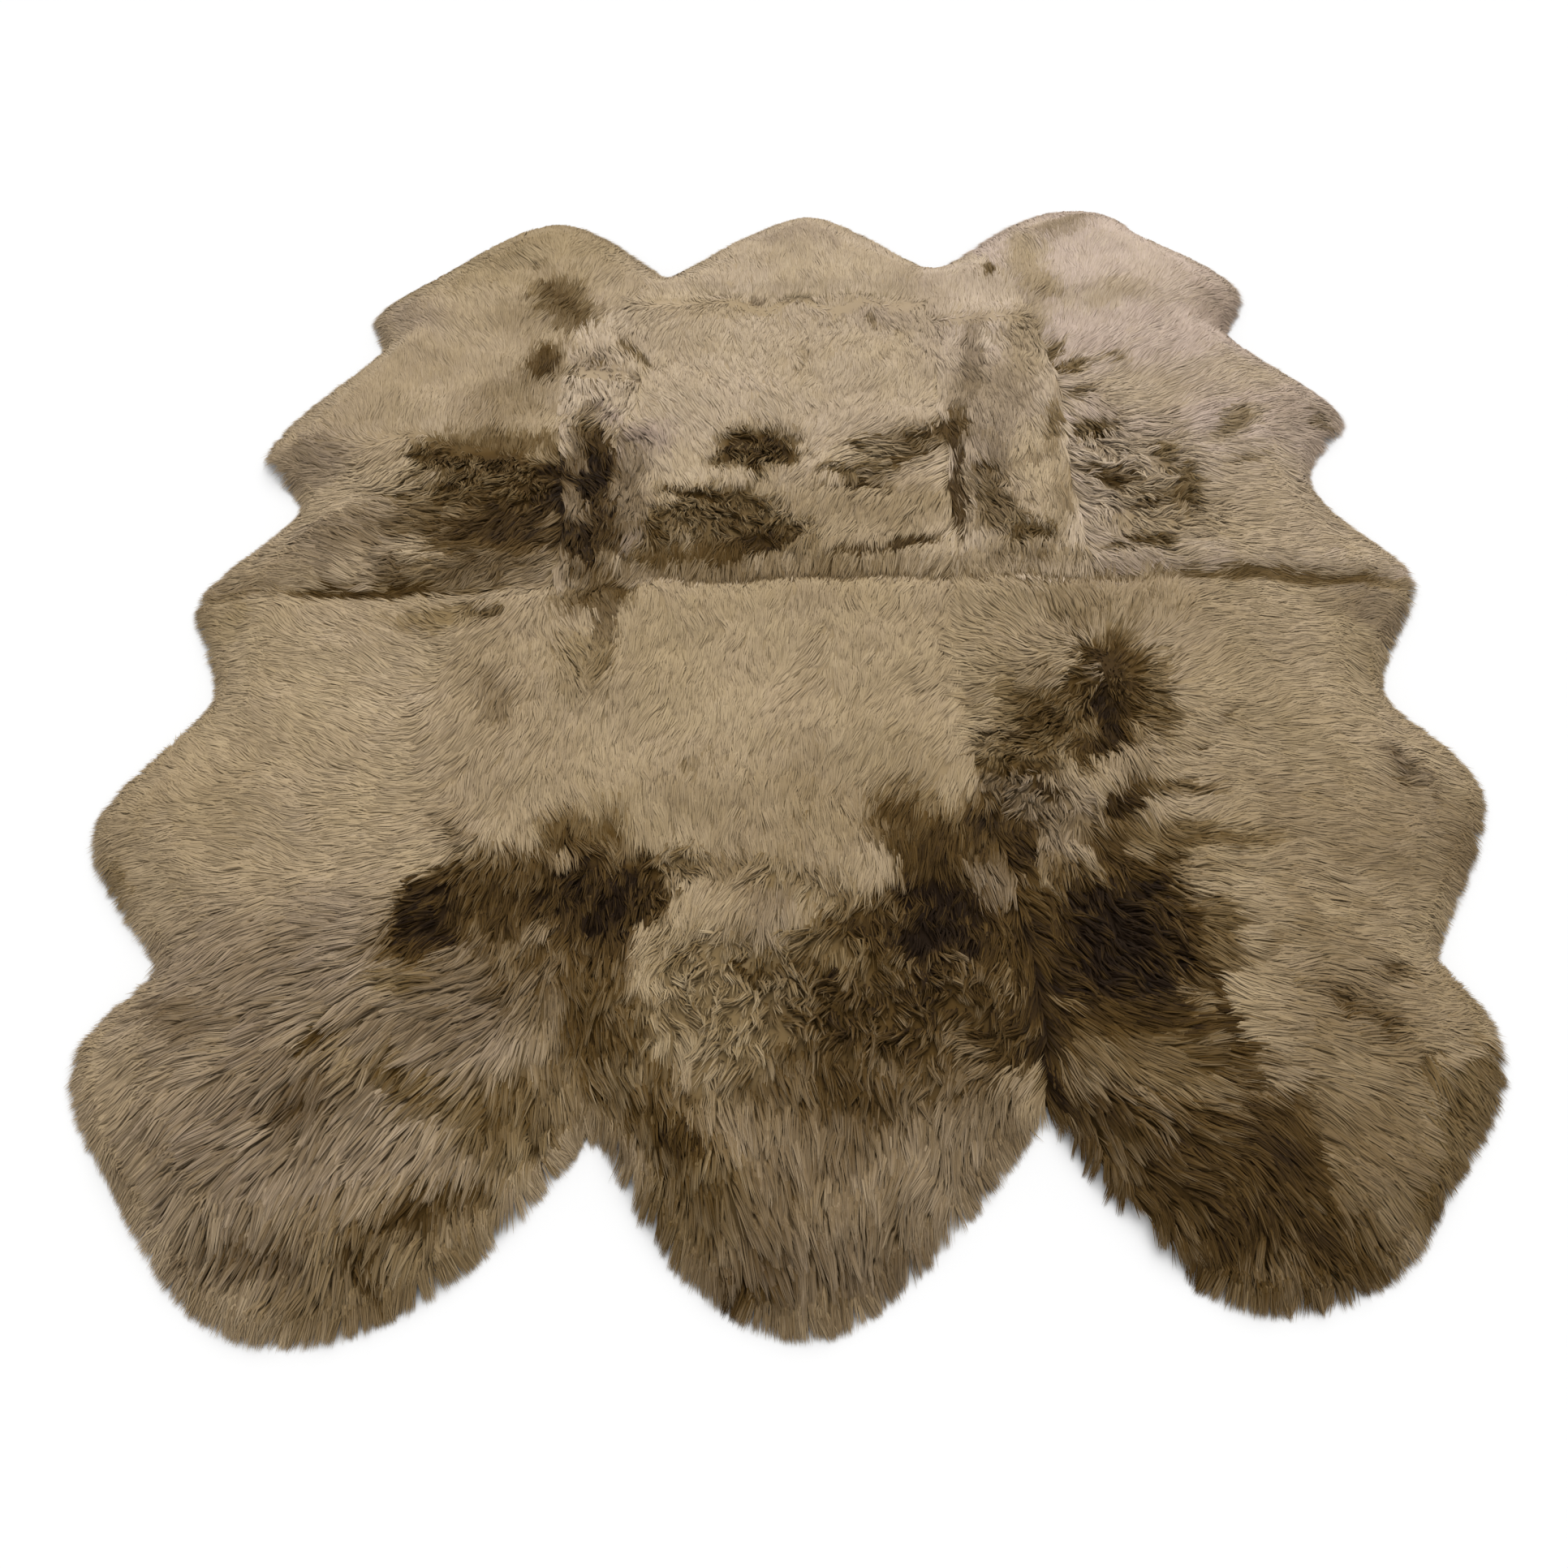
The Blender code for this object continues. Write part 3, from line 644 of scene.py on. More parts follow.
# at a strand's root, middle and tip
STEPS = (0.45, 0.55)  # shares of the length between them
RISE = np.array((-0.016, -0.0015, -0.0003))  # from the wool's top
LOWEST = np.array((0.0015, 0.0012, 0.0008))  # least height over the floor
DRAWN = np.array((0, 0.4, 0.72))  # how far each follows the tuft and the lock
SPILLED = np.array((0, 0.3, 1.0))  # how far each moves when the tip is brought to the rim
RAISED = np.array((0, 0.8, 1.1))  # share of the strand's own height
SAGGED = np.array((0, 0.4, 1.0))  # share of a hanging strand's sag
SHADES = np.array((-0.7, -0.10, 0.25))  # tone: painted shade at the root and painted light at the tip, by how much the wool is parted
BLEACHED = np.array((-0.5, -0.2, 0.7))  # tone, by how much the sun has bleached the tips
# for smooth wool, and what full shag and full curl add to it
UNDER = (0.0014, 0.0075, 0.0045)  # how far the underwool's top lies below the wool's
TO_TUFT = (0.26, 0.70, 0.50)
TO_LOCK = (0.08, 0.45, 0.25)
ROOTED = (0.4, 0.8, 0.5)  # share of the rise
PARTED = (0.2, 1.0, 0.9)
SHADING = (0.02, 0.23, 0.20)
STREAKING = (0.6, 1.6, 1.8)
BLEACHING = (0, 0.15, 0.20)

half = np.arange(-1.05, 1.05, UNDER_STEP)
pattern = np.stack(np.meshgrid(half, half * np.sqrt(3) / 2, indexing="xy"), axis=-1)
pattern[1::2, :, 0] += UNDER_STEP / 2
pattern = pattern.reshape(-1, 2)
pattern += np.random.default_rng(21).uniform(-0.003, 0.003, pattern.shape)


def sown(spacing, seed):
    """Roots all over the rug, in staggered rows, each shifted a little; and each root's piece."""
    shift = np.random.default_rng(seed)
    rows = np.arange(-1.05, 1.05, spacing * 0.866)
    spots = np.stack(np.meshgrid(np.arange(-0.98, 0.98, spacing), rows, indexing="xy"), axis=-1)
    spots[1::2, :, 0] += spacing / 2
    spots = spots.reshape(-1, 2)
    spots = spots + shift.uniform(-0.45, 0.45, spots.shape) * spacing
    spots = spots[read(skins, spots) > 0.0005]
    nearest_cell = np.rint((spots - (sheet_x[0], sheet_y[0])) / CELL).astype(int)
    return spots, spread(piece_number)[nearest_cell[:, 0], nearest_cell[:, 1], 0]


roots, root_piece = sown(STRAND_SPACING, 31)
fringe_roots, fringe_piece = sown(FRINGE_SPACING, 32)
at_edge = read(skins, fringe_roots) < FRINGE
fringe_roots, fringe_piece = fringe_roots[at_edge], fringe_piece[at_edge]


def tuft_of(points, size, seed):
    """The nearest of a mesh of shifted centres to each point, and that tuft's own four random numbers:
    its length from 0 to 1, and its turn, height and tint from -0.5 to 0.5."""
    table = np.random.default_rng(seed).uniform(0, 1, (128, 128, 6))
    cell = np.floor(points / size).astype(int)
    best = np.full(len(points), np.inf)
    centre, own = np.zeros_like(points), np.zeros((len(points), 4))
    for i, j in np.ndindex(3, 3):
        at = cell + (i - 1, j - 1)
        numbers = table[at[:, 0] % 128, at[:, 1] % 128]
        middle = (at + 0.1 + 0.8 * numbers[:, :2]) * size
        gap = ((points - middle) ** 2).sum(axis=1)
        nearer = gap < best
        best = np.where(nearer, gap, best)
        centre[nearer], own[nearer] = middle[nearer], numbers[nearer, 2:]
    return centre, *(own - (0, 0.5, 0.5, 0.5)).T


def fading(sheet, points, how):
    """An amount that is full on the line that this sheet measures from, and dies away in a bell curve."""
    return how[0] * bell(np.maximum(read(sheet, points), 0), how[1])


def loosened(amount, shag, curl):
    """An amount for smooth wool, and what shag and curl add to it."""
    return amount[0] + amount[1] * shag + amount[2] * curl


def unit(vectors):
    """The vectors, each at length 1."""
    return vectors / np.maximum(np.linalg.norm(vectors, axis=-1), 1e-6)[..., None]


def fleece(name, plain, lie, marks=()):
    """The wool of one piece.

    plain is its tone in percent, hue, and curl and shag in percent, away from the markings. lie has rows
    of x and y in cm and the heading of the comb there: each strand's heading is the mean of the rows,
    weighted by one over the fourth power of the distance, and turns outwards near the rim.
    """
    short = name.replace("_pelt", "")
    number = list(WALKS).index(name)
    root = np.vstack([roots[root_piece == number], fringe_roots[fringe_piece == number]])
    count = len(root)
    hanging = np.arange(count) >= (root_piece == number).sum()
    rng = np.random.default_rng(100 + number)
    lie = np.array(lie, float)
    guides, ways = lie[:, :2] / 100, heading(lie[:, 2])
    tone, hue, curl, shag = plain
    plain = (tone / 100, hue, curl / 100, shag / 100, 0)
    markings = [marking(*mark) for mark in [*marks, *CROSSING]]

    def marked(points):
        """Tone, hue, curl, shag and dip at these points."""
        values = np.tile(np.array(plain, float), (len(points), 1))
        ragged = ripples(points, RAGGED)
        (west, south), (east, north) = points.min(axis=0), points.max(axis=0)
        for mark in markings:
            far = mark.long * (1.4 + mark.soft)
            if not (west - far < mark.x < east + far and south - far < mark.y < north + far):
                continue
            offset = points - mark[:2]
            along, across = heading(mark.turned), heading(mark.turned + 90)
            reach = np.sqrt((offset @ along / mark.long) ** 2 + (offset @ across / mark.wide) ** 2)
            share = np.clip((1 + mark.soft / 2 - reach - ragged) / mark.soft, 0, 1)
            values += eased(share)[:, None] * (np.array(mark[6:]) - values)
        # painted shade: the tone falls near the rim, in the furrow over the seam between the rows, and over
        # every seam
        values[:, 0] *= 1 - fading(rim, points, RIM_SHADE)
        values[:, 0] *= 1 - fading(cross, points, CROSS_SHADE) - fading(joins, points, SEAM_SHADE)
        return values.T

    def combed(points, curl=0, turn=0):
        """The way that the wool lies at these points: its length is under 1 where ways meet, and
        over the seam between the rows, where the wool stands up."""
        gaps = ((points[:, None, :] - guides) ** 2).sum(axis=2) + GUIDE_SPREAD**2
        weights = gaps**-2
        way = weights @ ways / weights.sum(axis=1)[:, None]
        firm = np.linalg.norm(way, axis=1)[:, None]
        way *= np.maximum(firm, LEAST_COMB) / np.maximum(firm, 0.01)
        edge = fading(rim, points, TURN_OUT)[:, None]
        way = way * (1 - edge) + read(out, points) * edge
        way *= (1 - fading(cross, points, STAND_UP) * (1 - edge[:, 0]))[:, None]
        swing = ripples(points, SWING) + curl * np.radians(110) * ripple(points, 0.016, 53) + turn
        cosine, sine = np.cos(swing), np.sin(swing)
        x, y = way.T
        return np.stack([x * cosine - y * sine, x * sine + y * cosine], axis=1)

    def path(start, curl, length, turn):
        """Three points of the strand's middle line, seen from above."""
        line = [start]
        for share in STEPS:
            line.append(line[-1] + combed(line[-1], curl, turn) * (share * length)[:, None])
        return np.stack(line, axis=1)

    # the underwool, a little darker and more olive than the strands over it
    ring = drawn_in(evenly(piece_ring(name, skin_edge), 0.008), 0.0005)
    inner = pattern[inside(pattern, ring)]
    inner = inner[nearest(inner, ring)[0] > UNDER_STEP / 2]
    plan = np.vstack([ring, inner])
    base = STITCH + SKIN + 0.0003
    least = base + 0.001
    tone, hue, curl, shag, dip = marked(plan)
    depth = loosened(UNDER, shag, curl) + dip
    depth = depth + 0.0006 * ripple(plan, 0.02, 22) + fading(joins, plan, (0.002, 0.02))
    tops = np.maximum(read(top, plan) - depth, least)
    tops = least + (tops - least) * np.sqrt(np.clip(read(skins, plan) / 0.03, 0, 1))
    under = flat_body(short + "_underwool", ring, tops, base, inner)
    # a small wave gives each of its faces some room on the chart
    tones = (0.94 - 0.1 * shag) * tone - 0.02 + 0.01 * np.sin(plan @ (430, 170))
    hues = hue - 0.1 + 0.01 * np.sin(plan @ (-150, 390))
    dye(under, np.append(tones, tones[:len(ring)] - 0.03), np.append(hues, hues[:len(ring)]))

    # the long wool, coloured by the markings where most of each strand is seen, or near there
    tuft_middle, tuft_length, tuft_turn, tuft_height, tuft_tint = tuft_of(root, TUFT, 61)
    lock_middle, lock_length, lock_turn, lock_height, lock_tint = tuft_of(root, LOCK, 62)
    way = combed(root)
    seen = way * (STRAND * (0.62 + 0.22 * tuft_turn + rng.uniform(-0.06, 0.06, count)))[:, None]
    strayed = 0.012 * np.stack([tuft_length - 0.5, tuft_turn], axis=1) + rng.normal(0, 0.0025, (count, 2))
    tone, hue, curl, shag, dip = marked(root + seen + strayed)
    length = STRAND * (1 - 0.48 * curl) * (1 + 0.25 * shag)
    turn = rng.normal(0, 0.07 + 0.13 * hanging) + 0.40 * tuft_turn + 0.35 * lock_turn

    # strands that lean away from a seam start beyond it, so that the wool closes over it
    leaving = np.clip((read(joins, root + 0.01 * way) - read(joins, root)) / 0.01, 0, 1)
    leaving *= fading(joins, root, (1, 0.022)) * (1 - fading(cross, root, (1, 0.020)))
    start = root - way * (CLOSING * leaving)[:, None]

    # from above: each strand's own path, drawn to its tuft's path, and then to its lock's
    own = path(start, curl, length * rng.uniform(0.75, 1.15, count), turn)
    tuft = path(tuft_middle, curl, length * (0.8 + 0.4 * tuft_length), 0.4 * tuft_turn)
    lock = path(lock_middle, curl, length * (0.9 + 0.3 * lock_length), 0.35 * lock_turn)
    drawn = DRAWN[:, None]
    middle = own + drawn * (tuft - own) * loosened(TO_TUFT, shag, curl)[:, None, None]
    from_tuft = middle - tuft
    middle = middle + drawn * (lock - middle) * loosened(TO_LOCK, shag, curl)[:, None, None]

    # tips stop a little past the rim, and sooner at the bottom of a notch, where no way out is open
    tip = middle[:, 2]
    past = np.where(hanging, rng.uniform(0.002, 0.011, count), rng.uniform(0.001, 0.007, count))
    open_way = np.clip(-read(rim, tip + 0.03 * read(out, tip)) / 0.02, 0.1, 1)
    spill = np.minimum(read(rim, tip) + past * open_way, 0)[:, None] * read(out, tip)
    middle += spill[:, None] * SPILLED[:, None]

    # heights: on the wool's top, from deeper at the root, with tufts and locks over and under each other
    flat = middle.reshape(-1, 2)
    rise = RISE * loosened(ROOTED, shag, curl)[:, None]
    rise[:, 0] *= (1 - fading(joins, root, (0.8, 0.012))) * (1 - 0.7 * leaving)
    height = read(top, flat).reshape(count, 3) + rise - dip[:, None]
    parted = loosened(PARTED, shag, curl)
    layer = rng.normal(0, 0.0005, count) + parted * (0.0035 * tuft_height + 0.0045 * lock_height)
    height += layer[:, None] * RAISED
    dome = (np.linalg.norm(from_tuft, axis=2) / (TUFT / 2)) ** 2
    height -= 0.0016 * parted[:, None] * np.clip(dome, 0, 2) * RAISED
    height += (curl * 0.004 * rng.uniform(-1, 1, count))[:, None] * RAISED
    height += (hanging * rng.uniform(-0.003, 0.004, count))[:, None] * SAGGED
    height = np.maximum(height, LOWEST)
    line = np.concatenate([middle, height[..., None]], axis=2)

    # blades: from the root to two points side by side at the middle, and on to the tip
    run = unit(line[:, 2] - line[:, 0])
    tilt = read(slope, flat).reshape(count, 3, 2)
    up = unit(np.concatenate([-tilt, np.ones((count, 3, 1))], axis=2))
    side = unit(np.cross(run, up[:, 1]))
    twist = rng.normal(0, 0.12, count)[:, None]
    side = np.cos(twist) * side + np.sin(twist) * np.cross(side, run)
    width = (STRAND_WIDTH / 2 * rng.uniform(0.6, 1.4, count) * (1 - 0.35 * hanging))[:, None]
    points = np.stack([line[:, 0], line[:, 1] - side * width, line[:, 1] + side * width, line[:, 2]], axis=1)
    points[..., 2] = np.maximum(points[..., 2], 0.0005)

    # normals: rounded over each tuft and across each blade
    bulge = (from_tuft / TUFT)[:, :2] * parted[:, None, None]
    facing = up[:, :2] + np.concatenate([bulge, np.zeros((count, 2, 1))], axis=2)
    normals = [facing[:, 0], facing[:, 1] - 0.3 * side, facing[:, 1] + 0.3 * side, up[:, 2]]
    normals = unit(np.stack(normals, axis=1))

    # tones: streaks from strand to strand, painted shade on the roots and painted light on the tips where
    # the wool is parted, and bleached tips
    streak = rng.normal(0, 0.015, count) + 0.04 * tuft_tint + 0.035 * lock_tint + ripples(root, STREAKS)
    streak = streak * loosened(STREAKING, shag, curl) * (1.5 - 0.7 * tone)
    shaded = SHADES * (loosened(SHADING, shag, curl) * (0.4 + 0.9 * tone))[:, None]
    bleached = loosened(BLEACHING, shag, curl) * (0.95 - 0.8 * tone) * (1 + 1.6 * tuft_tint)
    tones = (tone + streak)[:, None] + shaded + bleached[:, None] * BLEACHED
    hues = hue + 0.05 * rng.normal(0, 1, count) + 0.12 * lock_turn + 0.10 * ripple(root, 0.09, 73)
    # painted shade and light across each blade: one edge darker and the other lighter, as if the blade were
    # round
    sides = np.array([0, -1.0, 1.0, 0])
    tones = tones[:, [0, 1, 1, 2]] + 0.025 * sides
    # the roots are more olive: their own colour, and it also warms the shade that falls on them in the gaps
    hues = np.clip(hues, 0.02, 0.98)[:, None] + 0.004 * sides - np.array([0.3, 0, 0, 0])

    corners = (np.arange(count)[:, None] * 4 + np.array([0, 2, 1, 1, 2, 3])).ravel()
    long_wool = make_piece(short + "_wool", points.reshape(-1, 3), corners, np.full(2 * count, 3))
    dye(long_wool, tones.ravel(), hues.ravel())
    long_wool.data.normals_split_custom_set_from_vertices(normals.reshape(-1, 3).astype(np.float32))
    for piece in (under, long_wool):
        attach(piece, "root")
        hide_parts(name)


# Front left pelt: combed down and out to the flank, light tan over the back, greyer and shaggier on the
# neck, with a dark patch beside the middle seam.
fleece("front_left_pelt", plain=(69, TAN, 4, 12), lie=[
    (-85, 0, 165), (-70, -3, 150), (-55, -3, 145), (-70, -18, 155), (-80, -30, 158), (-60, -25, 155),
    (-55, -12, 148), (-44, -8, -110), (-35, -10, -72), (-33, -22, -85), (-40, -32, -95), (-46, -20, -120),
    (-35, -38, -85), (-52, -38, 185), (-80, -45, 180), (-65, -42, 180), (-60, -50, 192), (-75, -53, 200),
    (-62, -57, 205), (-50, -55, 215), (-80, -66, 190), (-70, -65, 200), (-70, -78, 222), (-60, -75, 232),
    (-55, -87, -98), (-45, -75, 230), (-42, -63, 215), (-36, -74, 238), (-37, -84, -95), (-30, -68, -98),
    (-32, -55, -100), (-62, -90, -110),
], marks=[
    (-380, -220, 100, 150, 0, 1.3, 65, TAN, 10, 10), (-840, -30, 60, 40, -60, 1.1, 60, OLIVE, 10, 10),
    (-800, -360, 110, 90, 0, 1.2, 64, TAN, 0, 10), (-870, -440, 35, 18, -50, 1, 54, OLIVE, 20, 10),
    (-600, -570, 200, 80, 8, 1.1, 57, TAUPE, 0, 40), (-520, -760, 230, 180, -10, 0.8, 54.5, TAUPE, 0, 80),
    (-420, -630, 90, 50, 20, 1, 46, TAUPE, 10, 60), (-460, -900, 150, 75, 15, 1, 50, 0.2, 10, 80),
    (-730, -630, 40, 20, -20, 1.1, 44, TAUPE, 0, 40), (-570, -735, 55, 25, 10, 1.1, 32, TAUPE, 20, 70, 2),
    (-470, -705, 45, 20, -30, 1.1, 33, OLIVE, 20, 70, 2),
    (-350, -740, 90, 45, 10, 1.1, 34, OLIVE, 20, 70, 2), (-330, -800, 60, 20, 40, 1, 38, OLIVE, 20, 80, 1),
    (-430, -845, 60, 20, 20, 1, 31, TAN, 20, 80, 2), (-475, -905, 30, 14, -50, 0.9, 22, TAN, 40, 60, 3),
    (-600, -885, 70, 20, -10, 1, 34, TAUPE, 20, 80, 1), (-570, -663, 34, 14, 20, 0.9, 22, OLIVE, 80, 20, 3),
    (-530, -680, 22, 12, -60, 1, 52, TAN, 20, 50), (-490, -560, 35, 18, 10, 1, 34, OLIVE, 20, 40, 1),
    (-485, -600, 25, 14, 0, 1, 40, OLIVE, 20, 40, 1), (-445, -495, 88, 44, 40, 0.7, 5, TAN, 40, 40, 3),
    (-370, -495, 70, 55, 0, 0.8, 13, TAN, 50, 40, 3), (-345, -600, 70, 40, -60, 1, 33, TAN, 30, 50, 1),
    (-440, -425, 45, 16, -55, 1, 52, TAN, 50, 20, 1), (-465, -52, 32, 15, -10, 0.8, 36, OLIVE, 90, 0, 3),
    (-520, -60, 60, 22, 0, 1.1, 54, OLIVE, 20, 0), (-420, -210, 45, 18, -65, 1, 53, TAN, 20, 10),
    (-600, -170, 110, 70, -15, 1.2, 73, TAN, 0, 10),
])

# Front middle pelt: long and light over the back, curled and olive across the shoulders, shaggy on the
# neck.
fleece("front_middle_pelt", plain=(69, 0.22, 4, 13), lie=[
    (-22, 0, -92), (-10, 0, -95), (5, 0, -98), (17, -3, -112), (0, -15, -102), (-20, -20, -108),
    (12, -20, -113), (15, -32, -112), (-15, -35, -95), (0, -35, -102), (-22, -40, -80), (-5, -55, -115),
    (-12, -65, -100), (12, -60, -90), (-15, -75, -72), (-10, -82, -82), (0, -82, -90), (10, -80, -106),
    (17, -74, -122), (5, -91, -95), (-10, -91, -78), (-20, -80, -62),
], marks=[
    (-20, -380, 200, 80, 0, 1.3, 61, 0.25, 0, 20), (10, -830, 240, 165, 0, 0.8, 48, 0.42, 0, 80),
    (140, -790, 70, 50, 30, 1, 49, 0.42, 0, 70), (-150, -840, 60, 60, 60, 1, 38, OLIVE, 10, 80),
    (0, -910, 130, 30, 0, 1, 40, TAUPE, 10, 80), (-70, -640, 150, 100, 0, 0.7, 52, OLIVE, 80, 30),
    (-20, -490, 110, 30, -15, 1.1, 53, OLIVE, 50, 30), (90, -640, 140, 110, 0, 0.8, 29, TAN, 80, 40, 2),
    (50, -730, 130, 35, 0, 1, 36, TAN, 40, 60, 2), (40, -560, 60, 50, 0, 0.9, 40, OLIVE, 60, 30, 1),
    (140, -440, 100, 58, -60, 0.8, 25, OLIVE, 10, 40, 1), (160, -480, 60, 35, -60, 0.9, 18, TAN, 10, 30, 2),
    (155, -545, 100, 70, -8, 0.8, 0, TAN, 60, 30, 6), (-65, -530, 35, 30, 60, 1, 58, 0.45, 20, 20),
    (-130, -600, 60, 40, -20, 1, 56, OLIVE, 90, 20), (-80, -605, 20, 12, 0, 0.8, 26, OLIVE, 80, 10, 3),
    (0, -610, 16, 14, 0, 0.8, 16, TAN, 60, 10, 4), (205, -588, 16, 8, 30, 0.8, 56, TAUPE, 20, 20),
    (190, -640, 60, 30, -50, 1, 32, TAN, 70, 30, 1), (-165, -775, 45, 28, -70, 0.9, 24, OLIVE, 30, 70, 3),
    (-100, -935, 30, 14, 10, 0.9, 20, TAN, 30, 70, 2), (-10, -390, 14, 10, 0, 0.8, 50, OLIVE, 40, 10, 1),
    (-160, -310, 30, 10, 60, 1, 56, OLIVE, 10, 20, 1),
])

# Front right pelt: a light flank, a dark crown on the back, and dark wool from the shoulder to the neck.
fleece("front_right_pelt", plain=(67, TAN, 6, 10), lie=[
    (26, -3, 122), (26, -12, 150), (34, -3, 105), (40, -3, 90), (46, -5, 68), (48, -15, 30), (46, -23, -25),
    (34, -18, 205), (38, -26, -100), (27, -20, 200), (60, -8, -5), (60, -20, 15), (72, -15, 0), (82, -3, 12),
    (62, -32, -6), (76, -35, -5), (60, -45, -10), (72, -46, -10), (50, -42, 15), (30, -45, -85),
    (36, -40, -60), (35, -55, -60), (45, -60, -30), (40, -67, -3), (55, -57, -5), (65, -63, -18),
    (56, -70, -12), (61, -77, -25), (71, -63, 5), (55, -82, -42), (40, -76, -32), (33, -78, -52),
    (28, -72, -65), (46, -86, -62), (42, -92, -88), (52, -90, -65),
], marks=[
    (800, -50, 80, 45, -40, 1.1, 55, TAUPE, 0, 10), (700, -420, 160, 90, -10, 1.1, 57, TAN, 0, 10),
    (800, -420, 50, 30, 60, 1.1, 52, TAN, 0, 10), (590, -700, 190, 100, -85, 1, 53, TAN, 0, 30),
    (410, -50, 110, 40, 0, 1.1, 55, 0.2, 0, 50), (260, -140, 70, 55, 0, 1.2, 64, 0.25, 10, 10),
    (285, -240, 80, 65, -50, 0.8, 32, OLIVE, 70, 10, 2), (235, -205, 45, 18, 20, 1, 38, OLIVE, 10, 10, 1),
    (215, -275, 28, 18, 60, 0.9, 52, TAN, 90, 10), (252, -272, 16, 18, 0, 0.7, 17, TAUPE, 70, 0, 4),
    (245, -320, 55, 20, -5, 0.9, 33, OLIVE, 70, 10, 1), (257, -332, 26, 13, -10, 0.7, 12, OLIVE, 70, 0, 5),
    (440, -180, 85, 45, -78, 0.8, 28, OLIVE, 20, 50, 2), (390, -190, 95, 42, -80, 0.6, 16, OLIVE, 50, 30, 5),
    (378, -235, 58, 20, -78, 0.6, 6, TAN, 60, 10, 7), (345, -190, 40, 14, 80, 0.9, 30, OLIVE, 70, 20, 2),
    (372, -175, 12, 10, 80, 0.8, 44, TAUPE, 70, 10), (482, -165, 40, 14, 65, 0.9, 42, OLIVE, 30, 20, 1),
    (362, -300, 40, 22, 60, 0.7, 14, OLIVE, 50, 10, 4), (400, -318, 50, 15, 20, 0.9, 64, TAN, 10, 30),
    (270, -395, 85, 50, -25, 0.9, 47, TAUPE, 80, 20, 1), (300, -430, 50, 16, 5, 1, 56, TAUPE, 40, 30),
    (292, -362, 18, 10, 0, 0.7, 16, TAUPE, 70, 10, 4), (385, -375, 42, 24, 45, 0.7, 15, TAN, 40, 30, 4),
    (445, -360, 65, 12, -3, 1, 40, OLIVE, 30, 30, 1), (440, -425, 125, 22, -3, 1, 36, OLIVE, 20, 30, 1),
    (360, -440, 35, 22, -60, 0.9, 24, TAN, 20, 30, 2), (360, -490, 90, 32, 15, 0.9, 27, OLIVE, 10, 30, 2),
    (480, -470, 80, 18, 5, 1, 58, TAN, 10, 30), (362, -562, 132, 96, -5, 0.6, 2, TAN, 50, 40, 4),
    (470, -560, 60, 24, 80, 0.9, 33, OLIVE, 20, 30, 1), (455, -650, 65, 16, -85, 0.7, 13, TAN, 30, 20, 4),
    (350, -665, 115, 30, 2, 0.8, 15, OLIVE, 10, 50, 1), (370, -705, 105, 28, -8, 0.9, 33, 0.2, 0, 40),
    (310, -785, 90, 52, -30, 0.7, 24, TAUPE, 20, 90, 3), (390, -748, 50, 22, 10, 1, 34, TAN, 10, 60, 1),
    (460, -920, 120, 60, 5, 0.9, 34, OLIVE, 20, 60), (350, -860, 80, 50, -45, 0.9, 27, TAN, 10, 80, 1),
    (455, -840, 120, 98, -50, 0.6, 17, TAN, 20, 60, 2), (475, -785, 50, 45, 0, 0.9, 10, TAN, 10, 40, 3),
    (400, -895, 50, 30, 0, 0.9, 13, TAN, 20, 50, 3), (450, -930, 60, 18, 0, 1, 32, TAN, 20, 60),
    (730, -645, 80, 45, 15, 1.2, 61, TAN, 0, 20), (600, -655, 52, 24, -40, 1, 38, TAN, 70, 20, 2),
    (656, -605, 26, 14, 20, 0.9, 34, TAN, 70, 10, 3), (550, -620, 16, 8, 80, 0.9, 46, OLIVE, 40, 10, 1),
    (590, -830, 100, 55, -40, 1.1, 42, TAN, 0, 30), (525, -272, 45, 7, 52, 0.9, 42, TAN, 30, 10, 3),
    (495, -300, 10, 8, 0, 0.8, 22, TAN, 30, 10, 3), (758, -325, 40, 22, -60, 0.9, 43, TAUPE, 60, 10, 1),
    (742, -348, 18, 8, -60, 0.8, 28, TAN, 60, 10, 3),
])

# Front corner patch: a narrow crescent of darker, smoother wool.
fleece("front_corner_patch", plain=(38, OLIVE, 10, 30), lie=[
    (74, -70, -35), (68, -76, -60), (63, -83, -50), (60, -88, -60),
], marks=[
    (720, -695, 40, 14, 10, 1, 56, TAN, 0, 10),
])

